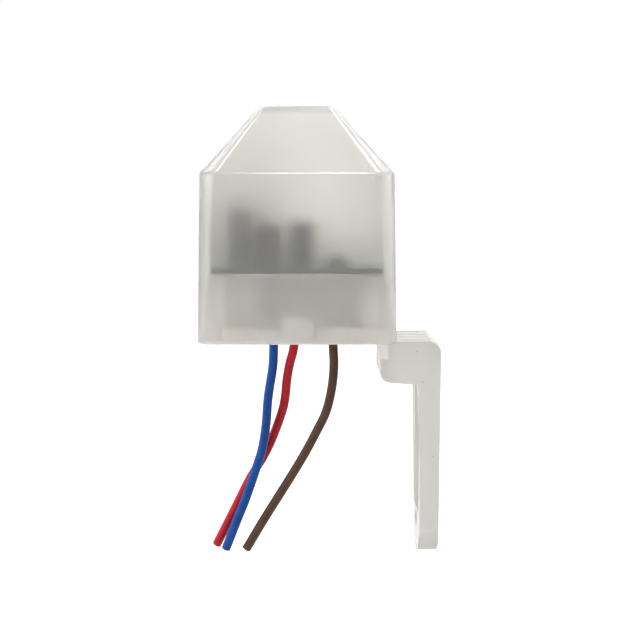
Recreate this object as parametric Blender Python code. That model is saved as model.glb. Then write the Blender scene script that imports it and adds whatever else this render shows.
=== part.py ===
# Wall-mounted photocell switch: a translucent snap-on cap over a base tray with the circuit board,
# three leads out of the base, and a moulded bracket that is screwed under the base.
# Metres, +Z up. The origin is on the bracket's wall face, whose outward normal is +X.

import math

import bmesh
import bpy
from mathutils import Matrix, Vector

for old in list(bpy.data.objects):
    bpy.data.objects.remove(old, do_unlink=True)

# Clearances
GAP = 0.0003                    # between pieces that touch
CAP_CLEARANCE = 0.0006          # between the cap's inner walls and what stands inside them
CUT_MARGIN = 0.0020             # how far a cutter passes the faces it opens
NUDGE = 0.00002                 # keeps a cutter's faces off the piece's own faces
SMALLEST_RADIUS = 0.0004

# Cap: square, slightly drafted walls and a pyramid top
CAP_RIM_WIDTH = 0.0505
CAP_SHOULDER_WIDTH = 0.0495
CAP_TOP_WIDTH = 0.0192
CAP_SHOULDER_HEIGHT = 0.0433
CAP_PYRAMID_RISE = 0.0168
CAP_WALL = 0.0021
CAP_RIM_CORNER = 0.0018         # plan radius of the upright corners at the rim
CAP_SHOULDER_CORNER = 0.0045    # the same where they reach the shoulder
CAP_TOP_CORNER = 0.0012         # plan radius of the ridges where they reach the top
CAP_SHOULDER_ROUND = 0.0016
CAP_TOP_ROUND = 0.0009
CAP_RIM_ROUND = 0.0010

# Base tray
BASE_RECESS = 0.0003            # its underside above the cap's rim
BASE_FLOOR = 0.0016
BASE_WALL = 0.0014
BASE_RIM_HEIGHT = 0.0036
BASE_CORNER = 0.0010
POST_DIAMETER = 0.0050
POST_INSET = 0.0037             # post axis from the board's edge
PEG_DIAMETER = 0.0024
PEG_HEAD_HEIGHT = 0.0011
RIB_WIDTH = 0.0012
RIB_HEIGHT = 0.0015

# Snap catches, one in the middle of each side
CATCH_WIDTH = 0.0080
CATCH_HEIGHT = 0.0066
CATCH_THICKNESS = 0.0013
CATCH_SLOT = 0.0009
BARB_REACH = 0.0009
BARB_LOW = 0.0031
BARB_HIGH = 0.0061
BARB_FLAT_SHARE = 0.35          # share of the barb's height that stands upright
CATCH_TIP_SHARE = 0.35          # share of the catch's thickness that is bevelled off at its tip

# Circuit board
BOARD_LEVEL = 0.0178            # its underside above the rim
BOARD_THICKNESS = 0.0016
BOARD_CORNER_CUT = 0.0012

# Leads through the base
LEAD_DIAMETER = 0.0025
LEAD_HOLE_CLEARANCE = 0.00035
COLLAR_WALL = 0.0009
COLLAR_HEIGHT = 0.0030

# Bracket
WALL_STANDOFF = 0.01315         # wall face from the cap's side
BRACKET_WIDTH = 0.0175
LEG_THICKNESS = 0.0054
ARM_LENGTH = 0.0162
ARM_DEPTH = 0.0112              # arm, top to bottom
ARM_DROP = 0.0020               # arm's top below the cap's rim
LEG_TIP_DROP = 0.0618           # leg's tip below the cap's rim
ARM_OUTER_ROUND = 0.0028
ARM_INNER_ROUND = 0.0023
BRACKET_EDGE_ROUND = 0.0006
ARM_CHAMFER = 0.0021            # bevel on the upright edges of the arm's free end
ARM_CHAMFER_RUN = 0.0050        # its even part, from the arm's top down
ARM_CHAMFER_END = 0.0017        # below that, where it runs out
GRIP_WIDTH = 0.0007             # grooves along the arm's top
GRIP_DEPTH = 0.00035
GRIP_PITCH = 0.0042
GRIP_COUNT = 4
WALL_HOLE_DIAMETER = 0.0046
PAD_WALL = 0.0008               # between the screw hole and the hollow above it
POCKET_WALL = 0.0023            # side walls of the leg's hollow
POCKET_DEPTH = 0.0024           # the hollow's depth at its lower end
POCKET_CORNER = 0.0010          # radius of its lower corners
POCKET_SHALLOW = 0.0004         # its depth under the arm
POCKET_START = 0.0020           # below the arm

# Tongue, tab and screw that hold the bracket to the base
TONGUE_WIDTH = 0.0138
TONGUE_THICKNESS = 0.0028
TAB_THICKNESS = 0.0017
TAB_WIDTH = 0.0094
TAB_RISE = 0.0040               # above the tongue
SOCKET_WALL = 0.0013
SOCKET_HEIGHT = 0.0072          # top of the socket above the base's underside
SCREW_SHARE = 0.8132            # screw axis from the cap's axis, as a share of the base's half width
TAB_TO_SCREW = 0.0006           # plastic between the tab's slot and the screw's hole
SCREW_DIAMETER = 0.0030
SCREW_HEAD_DIAMETER = 0.0056
SCREW_HEAD_HEIGHT = 0.0016
SCREW_HEAD_LIP = 0.0002
SCREW_TAIL = 0.0006             # end of the screw above the nut
SCREW_TIP_BEVEL = 0.0004
SCREW_SLOT_WIDTH = 0.0009
SCREW_SLOT_DEPTH = 0.0008
NUT_FLATS = 0.0055
NUT_HEIGHT = 0.0024

# Board parts: their places and plan sizes are drawn for one board and spread with it
LAYOUT_HALF = 0.022326          # that board's half width
PIN_DIAMETER = 0.0006
PIN_TAIL = 0.0015               # end of a pin below the board
PIN_TIP = 0.0001
PIN_BURIED = 0.0010             # end of a pin inside its part's body
SOLDER_DIAMETER = 0.0018
SOLDER_HEIGHT = 0.0008
SOLDER_LIP = 0.0001
SEAT = 0.0003                   # parts stand this far off the board
THIN_STEP = 0.00005             # rise of a face that is all but flat

RELAY_SIZE = (0.0072, 0.0200, 0.0150)
RELAY_PLACE = (-0.0150, 0.0025)
RELAY_EDGE = 0.0005
RELAY_PIN_SPREAD = (0.0036, 0.0150)
RELAY_PIN_DIAMETER = 0.0008
DROPPER_SIZE = (0.0066, 0.0150, 0.0107)
DROPPER_PLACE = (-0.0071, -0.0100)
DROPPER_ROUND = 0.0015
DROPPER_PIN_PITCH = 0.0100
CAN_DIAMETER = 0.0065
CAN_HEIGHT = 0.0112
CAN_PLACE = (0.0015, -0.0130)
CAN_PIN_PITCH = 0.0025
CAN_EDGE = 0.0006
CAN_GROOVE = 0.0003             # depth of the crimped groove near its foot
CAN_GROOVE_LEVEL = 0.0016
CAN_GROOVE_REACH = 0.0004
CAN_TOP_RIM = 0.0012            # width of the sleeve's turned-in rim
CAN_TOP_DIP = 0.0002
CERAMIC_DIAMETER = 0.0050
CERAMIC_THICKNESS = 0.0024
CERAMIC_PLACE = (-0.0005, 0.0050)
CERAMIC_PIN_PITCH = 0.0025
TRANSISTOR_DIAMETER = 0.0047
TRANSISTOR_HEIGHT = 0.0046
TRANSISTOR_FLAT = 0.0012        # flat side from the axis
TRANSISTOR_PLACE = (0.0005, 0.0110)
TRANSISTOR_PIN_PITCH = 0.0019
TRANSISTOR_STAND = 0.0025       # its body above the board

SENSOR_DIAMETER = 0.0051
SENSOR_THICKNESS = 0.0021
SENSOR_FLAT = 0.0021            # flat sides of the sensor's disc from its axis
SENSOR_PLACE = (-0.0077, 0.0060)
SENSOR_PIN_PITCH = 0.0034
SENSOR_EDGE = 0.0003
SENSOR_BELOW_TOP = 0.0140       # sensor's face below the cap's top
SLEEVE_DIAMETER = 0.0018
SLEEVE_CLEARANCE = 0.0006       # ends of the sleeves from the board and the disc

# Board parts that lie along X
AXIAL_PIN_PITCH = 0.0090
AXIAL_BEND = 0.0005
AXIAL_EDGE = 0.0004
AXIAL_FACE_SHARE = 0.8          # flat end face, as a share of the body's diameter
AXIAL_BEAD_START = 0.66         # inner edge of a resistor's end bead, as a share of its half length
AXIAL_WAIST_END = 0.56
AXIAL_WAIST = 0.85              # a resistor's waist, as a share of its diameter
DIODE_LENGTH = 0.0052
DIODE_DIAMETER = 0.0027
DIODE_PLACE_X = 0.0105
DIODE_FIRST_Y = -0.0155
DIODE_SPACING = 0.0036
DIODE_COUNT = 4
ZENER_LENGTH = 0.0038
ZENER_DIAMETER = 0.0018
ZENER_PLACE = (0.0105, -0.0011)
RESISTOR_LENGTH = 0.0063
RESISTOR_DIAMETER = 0.0024
RESISTOR_PLACE_X = 0.0105
RESISTOR_FIRST_Y = 0.0028
RESISTOR_SPACING = 0.0040
RESISTOR_NAMES = ("series_resistor", "sensor_resistor", "base_resistor")
DISCHARGE_LENGTH = 0.0090
DISCHARGE_DIAMETER = 0.0032
DISCHARGE_PLACE = (-0.0055, 0.0185)
DISCHARGE_PIN_PITCH = 0.0130

# Leads: hand-set places (X, Y, Z) from the cap's axis at the rim, from the base down to the cut ends,
# drawn for one base and spread along X with it
ROUTE_HALF = 0.022508           # that base's half width
BLUE_ROUTE = (
    (-0.0063, 0.0, -0.0015), (-0.0064, 0.0, -0.0055), (-0.0066, 0.0, -0.0105), (-0.0076, 0.0, -0.0168),
    (-0.0081, 0.0, -0.0208), (-0.0085, 0.0, -0.0266), (-0.0095, 0.0, -0.0332), (-0.0111, 0.0, -0.0386),
    (-0.0142, 0.0, -0.0478), (-0.0167, 0.0, -0.0541), (-0.0198, 0.0, -0.0622),
)
RED_ROUTE = (
    (-0.0007, 0.0, -0.0015), (-0.0009, 0.0002, -0.0056), (-0.0020, 0.0006, -0.0099),
    (-0.0028, 0.0011, -0.0145), (-0.0032, 0.0016, -0.0190), (-0.0041, 0.0022, -0.0236),
    (-0.0069, 0.0030, -0.0315), (-0.0096, 0.0034, -0.0372),
    (-0.0130, 0.0035, -0.0428), (-0.0176, 0.0035, -0.0521), (-0.0226, 0.0035, -0.0622),
)
BROWN_ROUTE = (
    (0.0098, 0.0, -0.0015), (0.0099, 0.0, -0.0055), (0.0101, 0.0, -0.0105), (0.0095, 0.0, -0.0168),
    (0.0080, 0.0, -0.0232), (0.0056, 0.0, -0.0283), (0.0024, 0.0, -0.0345), (-0.0012, 0.0, -0.0407),
    (-0.0053, 0.0, -0.0474), (-0.0094, 0.0, -0.0541), (-0.0141, 0.0, -0.0622),
)
LEADS = (
    ("blue_lead", BLUE_ROUTE, (0.02, 0.09, 0.38)),
    ("red_lead", RED_ROUTE, (0.55, 0.02, 0.04)),
    ("brown_lead", BROWN_ROUTE, (0.10, 0.05, 0.03)),
)
LEAD_POINT_SPACING = 0.0055

# Worked out from the sizes above
CAP_HEIGHT = CAP_SHOULDER_HEIGHT + CAP_PYRAMID_RISE
BASE_TOP = BASE_RECESS + BASE_FLOOR
BOARD_TOP = BOARD_LEVEL + BOARD_THICKNESS
WALL_REACH = CAP_RIM_WIDTH / 2 + WALL_STANDOFF
ARM_TOP = -ARM_DROP
ARM_BOTTOM = ARM_TOP - ARM_DEPTH
LEG_INNER = WALL_REACH - LEG_THICKNESS
LEG_END_RADIUS = BRACKET_WIDTH / 2
HOLE_LEVEL = -LEG_TIP_DROP + LEG_END_RADIUS
MOUNT_LEVEL = (ARM_BOTTOM + HOLE_LEVEL) / 2
TONGUE_TOP = -GAP
TONGUE_BOTTOM = TONGUE_TOP - TONGUE_THICKNESS

ARC_STEPS = 5
ROUND_SIDES = 24
PIN_SIDES = 6


def cap_half(level):
    """Outer half width of the cap's upright wall at a level."""
    rim, shoulder = CAP_RIM_WIDTH / 2, CAP_SHOULDER_WIDTH / 2
    return rim + (shoulder - rim) * level / CAP_SHOULDER_HEIGHT


def inside_cap(level):
    """Half width of what passes the cap's open rim and stands inside it at a level."""
    return min(cap_half(0.0), cap_half(level)) - CAP_WALL - CAP_CLEARANCE


BASE_HALF = inside_cap(BASE_RIM_HEIGHT)
BOARD_HALF = inside_cap(BOARD_TOP)
POST_PLACE = min(BASE_HALF, BOARD_HALF) - POST_INSET
SCREW_PLACE = BASE_HALF * SCREW_SHARE
TONGUE_END = SCREW_PLACE - SCREW_DIAMETER / 2 - TAB_TO_SCREW - TAB_THICKNESS - 2 * GAP
BOARD_SPREAD = BOARD_HALF / LAYOUT_HALF
ROUTE_SPREAD = BASE_HALF / ROUTE_HALF


# Materials and objects

def plain_material(name, colour, roughness, metallic=0.0, alpha=1.0):
    material = bpy.data.materials.new(name)
    material.use_nodes = True
    shader = material.node_tree.nodes["Principled BSDF"]
    shader.inputs["Base Color"].default_value = (*colour, 1.0)
    shader.inputs["Roughness"].default_value = roughness
    shader.inputs["Metallic"].default_value = metallic
    shader.inputs["Alpha"].default_value = alpha
    return material


frame_empty = bpy.data.objects.new("photocell_switch", None)
frame_empty.location = (-WALL_REACH, 0.0, -MOUNT_LEVEL)
bpy.context.scene.collection.objects.link(frame_empty)


def place_mesh(name, shape, material, smooth_angle=40.0):
    """Makes a named object of a bmesh, shaded smooth up to an angle, on the switch's own frame."""
    bmesh.ops.recalc_face_normals(shape, faces=shape.faces)
    mesh = bpy.data.meshes.new(name)
    shape.to_mesh(mesh)
    shape.free()
    mesh.materials.append(material)
    mesh.shade_smooth()
    mesh.set_sharp_from_angle(angle=math.radians(smooth_angle))
    piece = bpy.data.objects.new(name, mesh)
    piece.parent = frame_empty
    bpy.context.scene.collection.objects.link(piece)
    return piece


def boolean(piece, tool_shapes, operation):
    """Joins or cuts a piece with several shapes that don't touch each other."""
    joined = bmesh.new()
    for shape in tool_shapes:
        bmesh.ops.recalc_face_normals(shape, faces=shape.faces)
        mesh = bpy.data.meshes.new("shape")
        shape.to_mesh(mesh)
        joined.from_mesh(mesh)
        bpy.data.meshes.remove(mesh)
        shape.free()
    tool_mesh = bpy.data.meshes.new("tool")
    joined.to_mesh(tool_mesh)
    joined.free()
    tool = bpy.data.objects.new("tool", tool_mesh)
    tool.parent = frame_empty
    bpy.context.scene.collection.objects.link(tool)
    change = piece.modifiers.new("shape", "BOOLEAN")
    change.operation = operation
    change.object = tool
    change.solver = "EXACT"
    evaluated = piece.evaluated_get(bpy.context.evaluated_depsgraph_get())
    result = bpy.data.meshes.new_from_object(evaluated)
    piece.modifiers.clear()
    old_mesh = piece.data
    piece.data = result
    result.name = piece.name
    bpy.data.meshes.remove(old_mesh)
    bpy.data.objects.remove(tool, do_unlink=True)
    bpy.data.meshes.remove(tool_mesh)
    result.shade_smooth()
    result.set_sharp_from_angle(angle=math.radians(40.0))


# Shapes

def loft(loops):
    """Skins equal loops of points in turn and closes both ends."""
    shape = bmesh.new()
    rings = [[shape.verts.new(point) for point in loop] for loop in loops]
    for ring, following_ring in zip(rings, rings[1:]):
        for index, corner in enumerate(ring):
            following = (index + 1) % len(ring)
            shape.faces.new((corner, ring[following], following_ring[following], following_ring[index]))
    shape.faces.new(reversed(rings[0]))
    shape.faces.new(rings[-1])
    return shape


def round_point(centre_x, centre_y, radius, angle, level):
    """Point at an angle round an upright axis."""
    return Vector((centre_x + radius * math.cos(angle), centre_y + radius * math.sin(angle), level))


def rounded_square(half, corner, level):
    """Loop of a square with rounded corners, seen from above."""
    corner = min(corner, half * 0.95)
    loop = []
    for quarter in range(4):
        middle = math.pi / 4 + quarter * math.pi / 2
        centre_x = math.copysign(half - corner, math.cos(middle))
        centre_y = math.copysign(half - corner, math.sin(middle))
        for step in range(ARC_STEPS + 1):
            angle = (quarter + step / ARC_STEPS) * math.pi / 2
            loop.append(round_point(centre_x, centre_y, corner, angle, level))
    return loop


def rounded_path(corners, steps):
    """Turns each inner corner (across, up, radius) of an open path into an arc."""
    path = [Vector(corners[0][:2])]
    for before, corner, after in zip(corners, corners[1:], corners[2:]):
        apex, radius = Vector(corner[:2]), corner[2]
        if radius == 0.0:
            path.append(apex)
            continue
        back = (Vector(before[:2]) - apex).normalized()
        ahead = (Vector(after[:2]) - apex).normalized()
        half_angle = back.angle(ahead) / 2
        centre = apex + (back + ahead).normalized() * radius / math.sin(half_angle)
        start = apex + back * radius / math.tan(half_angle) - centre
        end = apex + ahead * radius / math.tan(half_angle) - centre
        turn = math.atan2(start.x * end.y - start.y * end.x, start.dot(end))
        for step in range(steps + 1):
            spin = Matrix.Rotation(turn * step / steps, 2)
            path.append(centre + spin @ start)
    path.append(Vector(corners[-1][:2]))
    return path


def box(low, high):
    """Block between two corners."""
    shape = bmesh.new()
    bmesh.ops.create_cube(shape, size=1.0)
    middle = (Vector(low) + Vector(high)) / 2
    size = Vector(high) - Vector(low)
    bmesh.ops.scale(shape, vec=size, verts=shape.verts)
    bmesh.ops.translate(shape, vec=middle, verts=shape.verts)
    return shape


def soft_box(low, high, round_edge, segments=2):
    """Block with rounded edges."""
    shape = box(low, high)
    bmesh.ops.bevel(shape, geom=shape.edges[:], offset=round_edge, segments=segments, profile=0.5,
                    affect="EDGES", clamp_overlap=True)
    return shape


def turned(path, centre_x, centre_y, sides=ROUND_SIDES, first_angle=0.0):
    """Solid turned about an upright axis from (radius, level) points, whose ends are closed flat."""
    loops = []
    for radius, level in path:
        ring = []
        for side in range(sides):
            angle = first_angle + 2 * math.pi * side / sides
            ring.append(round_point(centre_x, centre_y, radius, angle, level))
        loops.append(ring)
    return loft(loops)


def upright_rod(centre_x, centre_y, radius, low, high, sides=ROUND_SIDES):
    return turned([(radius, low), (radius, high)], centre_x, centre_y, sides)


def upright_hexagon(centre_x, centre_y, flats, low, high):
    """Hexagonal bar of a size across its flats, with a flat towards +X."""
    radius = flats / math.sqrt(3)
    return turned([(radius, low), (radius, high)], centre_x, centre_y, 6, math.pi / 6)


def swept(stations, sides=PIN_SIDES):
    """Round bar through (point, radius) stations, which lie in one upright plane."""
    points = [Vector(point) for point, radius in stations]
    across = (points[-1] - points[0]).cross(Vector((0, 0, 1)))
    if across.length < 1e-9:
        across = Vector((0, 1, 0))
    across.normalize()
    loops = []
    for index, (point, radius) in enumerate(stations):
        ahead = points[min(index + 1, len(points) - 1)] - points[index]
        back = points[index] - points[max(index - 1, 0)]
        along = (ahead.normalized() + back.normalized()).normalized()
        side = across.cross(along).normalized()
        ring = []
        for step in range(sides):
            angle = 2 * math.pi * (step + 0.5) / sides
            ring.append(points[index] + (across * math.cos(angle) + side * math.sin(angle)) * radius)
        loops.append(ring)
    return loft(loops)


def pin_stations(place_x, place_y, top, radius=PIN_DIAMETER / 2):
    """Stations of a soldered pin from its tail below the board up to a level."""
    solder_foot = BOARD_LEVEL - GAP
    tail = BOARD_LEVEL - PIN_TAIL
    return [
        (Vector((place_x, place_y, tail)), radius - PIN_TIP),
        (Vector((place_x, place_y, tail + PIN_TIP)), radius),
        (Vector((place_x, place_y, solder_foot - SOLDER_HEIGHT)), radius + THIN_STEP),
        (Vector((place_x, place_y, solder_foot - SOLDER_LIP)), SOLDER_DIAMETER / 2),
        (Vector((place_x, place_y, solder_foot)), SOLDER_DIAMETER / 2),
        (Vector((place_x, place_y, solder_foot + THIN_STEP)), radius),
        (Vector((place_x, place_y, top)), radius),
    ]


pin_places = []                 # (X, Y, hole radius) of every pin, for the board's holes


def pin(place_x, place_y, top, diameter=PIN_DIAMETER):
    pin_places.append((place_x, place_y, diameter / 2 + GAP))
    return swept(pin_stations(place_x, place_y, top, diameter / 2))


# Cap

def inner_corner(before, corner, after, distance):
    """Corner of the path that runs a wall's distance inside three points of the outer one."""
    first = (Vector(corner) - Vector(before)).normalized()
    second = (Vector(after) - Vector(corner)).normalized()
    first_normal = Vector((-first.y, first.x))
    second_normal = Vector((-second.y, second.x))
    return Vector(corner) + (first_normal + second_normal) * distance / (1 + first_normal.dot(second_normal))


def cap_corner(level):
    """Plan radius of the cap's corners: growing up the walls, then tapering along the ridges."""
    if level < CAP_SHOULDER_HEIGHT:
        share = max(level / CAP_SHOULDER_HEIGHT, 0.0)
        return CAP_RIM_CORNER + (CAP_SHOULDER_CORNER - CAP_RIM_CORNER) * share
    share = min((level - CAP_SHOULDER_HEIGHT) / CAP_PYRAMID_RISE, 1.0)
    return CAP_SHOULDER_CORNER + (CAP_TOP_CORNER - CAP_SHOULDER_CORNER) * share


def make_cap():
    rim = (CAP_RIM_WIDTH / 2, 0.0)
    shoulder = (CAP_SHOULDER_WIDTH / 2, CAP_SHOULDER_HEIGHT)
    top = (CAP_TOP_WIDTH / 2, CAP_HEIGHT)
    centre = (0.0, CAP_HEIGHT)
    inner_shoulder = inner_corner(rim, shoulder, top, CAP_WALL)
    inner_top = inner_corner(shoulder, top, centre, CAP_WALL)
    outside = rounded_path([
        (rim[0] - CAP_WALL, 0.0), (*rim, CAP_RIM_ROUND), (*shoulder, CAP_SHOULDER_ROUND), (*top, CAP_TOP_ROUND),
        (top[0] / 3, CAP_HEIGHT),
    ], 4)
    inside = rounded_path([
        (inner_top[0] / 2, inner_top[1]), (*inner_top, CAP_TOP_ROUND / 2),
        (*inner_shoulder, CAP_SHOULDER_ROUND / 2), (rim[0] - CAP_WALL, 0.0),
    ], 2)
    loops = []
    for half, level in inside:
        loops.append(rounded_square(half, max(cap_corner(level) - CAP_WALL, CAP_TOP_CORNER / 2), level))
    for half, level in outside[1:]:
        loops.append(rounded_square(half, cap_corner(level), level))
    material = plain_material("milky_cap", (0.86, 0.85, 0.83), 0.25, alpha=0.55)
    cap = place_mesh("cap", loft(loops), material)
    boolean(cap, [catch_pocket(side) for side in range(4)], "DIFFERENCE")
    return cap


def turn_side(shape, side):
    """Turns a shape made for the +X side to one of the four sides."""
    spin = Matrix.Rotation(side * math.pi / 2, 3, "Z")
    bmesh.ops.rotate(shape, cent=(0, 0, 0), matrix=spin, verts=shape.verts)
    return shape


def catch_pocket(side):
    """Pocket in the cap's inner wall that a catch snaps into."""
    inner = cap_half(BARB_HIGH) - CAP_WALL
    half_width = CATCH_WIDTH / 2 + GAP
    depth_end = BASE_HALF + BARB_REACH + GAP
    return turn_side(box((inner - CUT_MARGIN, -half_width, BASE_RECESS + BARB_LOW - GAP),
                         (depth_end, half_width, BASE_RECESS + BARB_HIGH + GAP)), side)


# Base

def catch_shape(side):
    """Springy upright catch with a barb near its foot, as an extruded outline."""
    foot = BASE_RECESS + BASE_FLOOR / 2
    barb_low, barb_high = BASE_RECESS + BARB_LOW, BASE_RECESS + BARB_HIGH
    top = BASE_RECESS + CATCH_HEIGHT
    inner = BASE_HALF - CATCH_THICKNESS
    outline = [
        (inner, foot), (BASE_HALF, foot), (BASE_HALF, barb_low), (BASE_HALF + BARB_REACH, barb_low),
        (BASE_HALF + BARB_REACH, barb_low + (barb_high - barb_low) * BARB_FLAT_SHARE), (BASE_HALF, barb_high),
        (BASE_HALF - CATCH_THICKNESS * CATCH_TIP_SHARE, top), (inner, top),
    ]
    loops = []
    for across in (-CATCH_WIDTH / 2, CATCH_WIDTH / 2):
        loops.append([Vector((reach, across, level)) for reach, level in outline])
    return turn_side(loft(loops), side)


def catch_slots(side):
    """Slots through the rim on both sides of a catch, which let it bend."""
    slots = []
    for way in (-1, 1):
        near = way * CATCH_WIDTH / 2
        far = way * (CATCH_WIDTH / 2 + CATCH_SLOT)
        low_y, high_y = min(near, far), max(near, far)
        low = (BASE_HALF - BASE_WALL - CUT_MARGIN / 2, low_y, BASE_TOP)
        high = (BASE_HALF + CUT_MARGIN, high_y, BASE_RECESS + BASE_RIM_HEIGHT + CUT_MARGIN)
        slots.append(turn_side(box(low, high), side))
    return slots


def lead_axes():
    return [(route[0][0] * ROUTE_SPREAD, route[0][1]) for name, route, colour in LEADS]


def make_base():
    rim_top = BASE_RECESS + BASE_RIM_HEIGHT
    inner_half = BASE_HALF - BASE_WALL
    inner_corner_radius = max(BASE_CORNER - BASE_WALL, SMALLEST_RADIUS)
    tray = loft([
        rounded_square(BASE_HALF, BASE_CORNER, BASE_RECESS),
        rounded_square(BASE_HALF, BASE_CORNER, rim_top),
        rounded_square(inner_half, inner_corner_radius, rim_top),
        rounded_square(inner_half, inner_corner_radius, BASE_TOP),
    ])
    base = place_mesh("base", tray, plain_material("base_plastic", (0.78, 0.77, 0.75), 0.45))
    bury = BASE_FLOOR / 2
    boolean(base, [catch_shape(side) for side in range(4)], "UNION")

    post_top = BOARD_LEVEL - GAP
    peg_top = BOARD_TOP + PEG_HEAD_HEIGHT
    posts = []
    for way_x in (-1, 1):
        for way_y in (-1, 1):
            path = [(POST_DIAMETER / 2, BASE_TOP - bury), (POST_DIAMETER / 2, post_top),
                    (PEG_DIAMETER / 2, post_top), (PEG_DIAMETER / 2, peg_top - PEG_HEAD_HEIGHT / 2),
                    (PEG_DIAMETER / 4, peg_top)]
            posts.append(turned(path, way_x * POST_PLACE, way_y * POST_PLACE, 16))
    hole_radius = LEAD_DIAMETER / 2 + LEAD_HOLE_CLEARANCE
    collar_top = BASE_TOP + COLLAR_HEIGHT
    collar_radius = hole_radius + COLLAR_WALL
    collars = []
    for place_x, place_y in lead_axes():
        collars.append(upright_rod(place_x, place_y, collar_radius, BASE_TOP - bury, collar_top, 16))
    boolean(base, posts + collars[::2], "UNION")
    boolean(base, collars[1::2] + [socket_block()], "UNION")
    rib_low, rib_high = BASE_TOP - bury, BASE_TOP + RIB_HEIGHT
    rib_reach = POST_PLACE
    ribs = [box((-rib_reach, way * POST_PLACE - RIB_WIDTH / 2, rib_low),
                (rib_reach, way * POST_PLACE + RIB_WIDTH / 2, rib_high)) for way in (-1, 1)]
    boolean(base, ribs, "UNION")

    holes = [slot for side in range(4) for slot in catch_slots(side)]
    for place_x, place_y in lead_axes():
        holes.append(upright_rod(place_x, place_y, hole_radius, -CUT_MARGIN, collar_top + CUT_MARGIN, 16))
    screw_clear = SCREW_DIAMETER / 2 + GAP
    holes.append(upright_rod(SCREW_PLACE, 0.0, screw_clear, -CUT_MARGIN, nut_seat() + NUT_HEIGHT / 2, 16))
    holes.append(tab_slot())
    boolean(base, holes, "DIFFERENCE")
    nut_pocket = upright_hexagon(SCREW_PLACE, 0.0, NUT_FLATS + 2 * GAP, nut_seat() - GAP,
                                 BASE_RECESS + SOCKET_HEIGHT + CUT_MARGIN)
    boolean(base, [nut_pocket], "DIFFERENCE")
    return base


def nut_seat():
    """Level of the nut's underside, near the socket's open top."""
    return BASE_RECESS + SOCKET_HEIGHT - NUT_HEIGHT


def socket_block():
    """Block inside the base that takes the bracket's tab and traps the nut."""
    start = TONGUE_END - GAP - SOCKET_WALL
    end = min(SCREW_PLACE + NUT_FLATS / 2 + GAP + SOCKET_WALL, BASE_HALF - BASE_WALL / 2)
    half_width = TAB_WIDTH / 2 + GAP + SOCKET_WALL
    return box((start, -half_width, BASE_TOP - BASE_FLOOR / 2), (end, half_width, BASE_RECESS + SOCKET_HEIGHT))


def tab_slot():
    return box((TONGUE_END - GAP, -TAB_WIDTH / 2 - GAP, -CUT_MARGIN),
               (TONGUE_END + TAB_THICKNESS + GAP, TAB_WIDTH / 2 + GAP, TONGUE_TOP + TAB_RISE + GAP))


# Bracket

def make_bracket():
    """Arm and leg as one extruded outline with a round foot, a tapering hollow and a screw hole."""
    arm_end = WALL_REACH - ARM_LENGTH
    tip = -LEG_TIP_DROP
    outline = rounded_path([
        ((WALL_REACH + LEG_INNER) / 2, tip), (WALL_REACH, tip, 0.0), (WALL_REACH, ARM_TOP, ARM_OUTER_ROUND),
        (arm_end, ARM_TOP, 0.0), (arm_end, ARM_BOTTOM, ARM_INNER_ROUND), (LEG_INNER, ARM_BOTTOM, 0.0),
        (LEG_INNER, tip, 0.0), ((WALL_REACH + LEG_INNER) / 2, tip),
    ], 5)
    loops = []
    for across in (-BRACKET_WIDTH / 2, BRACKET_WIDTH / 2):
        loops.append([Vector((reach, across, level)) for reach, level in outline[:-1]])
    shape = loft(loops)
    outline_edges = [edge for edge in shape.edges if abs(edge.verts[0].co.y - edge.verts[1].co.y) < 1e-7]
    bmesh.ops.bevel(shape, geom=outline_edges, offset=BRACKET_EDGE_ROUND, segments=2, profile=0.5,
                    affect="EDGES", clamp_overlap=True)
    bracket = place_mesh("mounting_bracket", shape, plain_material("bracket_plastic", (0.80, 0.79, 0.76), 0.5))
    boolean(bracket, [foot_cut(), arm_chamfer(-1), arm_chamfer(1)], "DIFFERENCE")
    boolean(bracket, [tongue_shape()], "UNION")
    cuts = [leg_hollow()]
    first_groove = -GRIP_PITCH * (GRIP_COUNT - 1) / 2
    for groove in range(GRIP_COUNT):
        across = first_groove + groove * GRIP_PITCH
        cuts.append(box((cap_half(0.0) + GAP, across - GRIP_WIDTH / 2, ARM_TOP - GRIP_DEPTH),
                        (WALL_REACH - ARM_OUTER_ROUND, across + GRIP_WIDTH / 2, ARM_TOP + GRIP_DEPTH)))
    boolean(bracket, cuts, "DIFFERENCE")
    head_clear = SCREW_HEAD_DIAMETER / 2 + GAP
    screw_clear = SCREW_DIAMETER / 2 + GAP
    seat_top = TONGUE_BOTTOM + SCREW_HEAD_HEIGHT
    holes = [
        wall_hole(),
        turned([(head_clear, TONGUE_BOTTOM - CUT_MARGIN), (head_clear, TONGUE_BOTTOM + GAP),
                (screw_clear, seat_top + GAP), (screw_clear, TONGUE_TOP + CUT_MARGIN)], SCREW_PLACE, 0.0, 16),
    ]
    boolean(bracket, holes, "DIFFERENCE")
    return bracket


def foot_cut():
    """What is cut from the leg's square end to leave a half round foot."""
    radius = LEG_END_RADIUS
    outer = radius + CUT_MARGIN
    loops = []
    for reach in (LEG_INNER - CUT_MARGIN, WALL_REACH + CUT_MARGIN):
        loop = []
        for step in range(17):
            angle = math.pi + math.pi * step / 16
            loop.append(Vector((reach, radius * math.cos(angle), HOLE_LEVEL + radius * math.sin(angle))))
        loop[0].y -= NUDGE
        loop[-1].y += NUDGE
        for across, level in ((outer, HOLE_LEVEL), (outer, HOLE_LEVEL - outer), (-outer, HOLE_LEVEL - outer),
                              (-outer, HOLE_LEVEL)):
            loop.append(Vector((reach, across, level)))
        loops.append(loop)
    return loft(loops)


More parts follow.
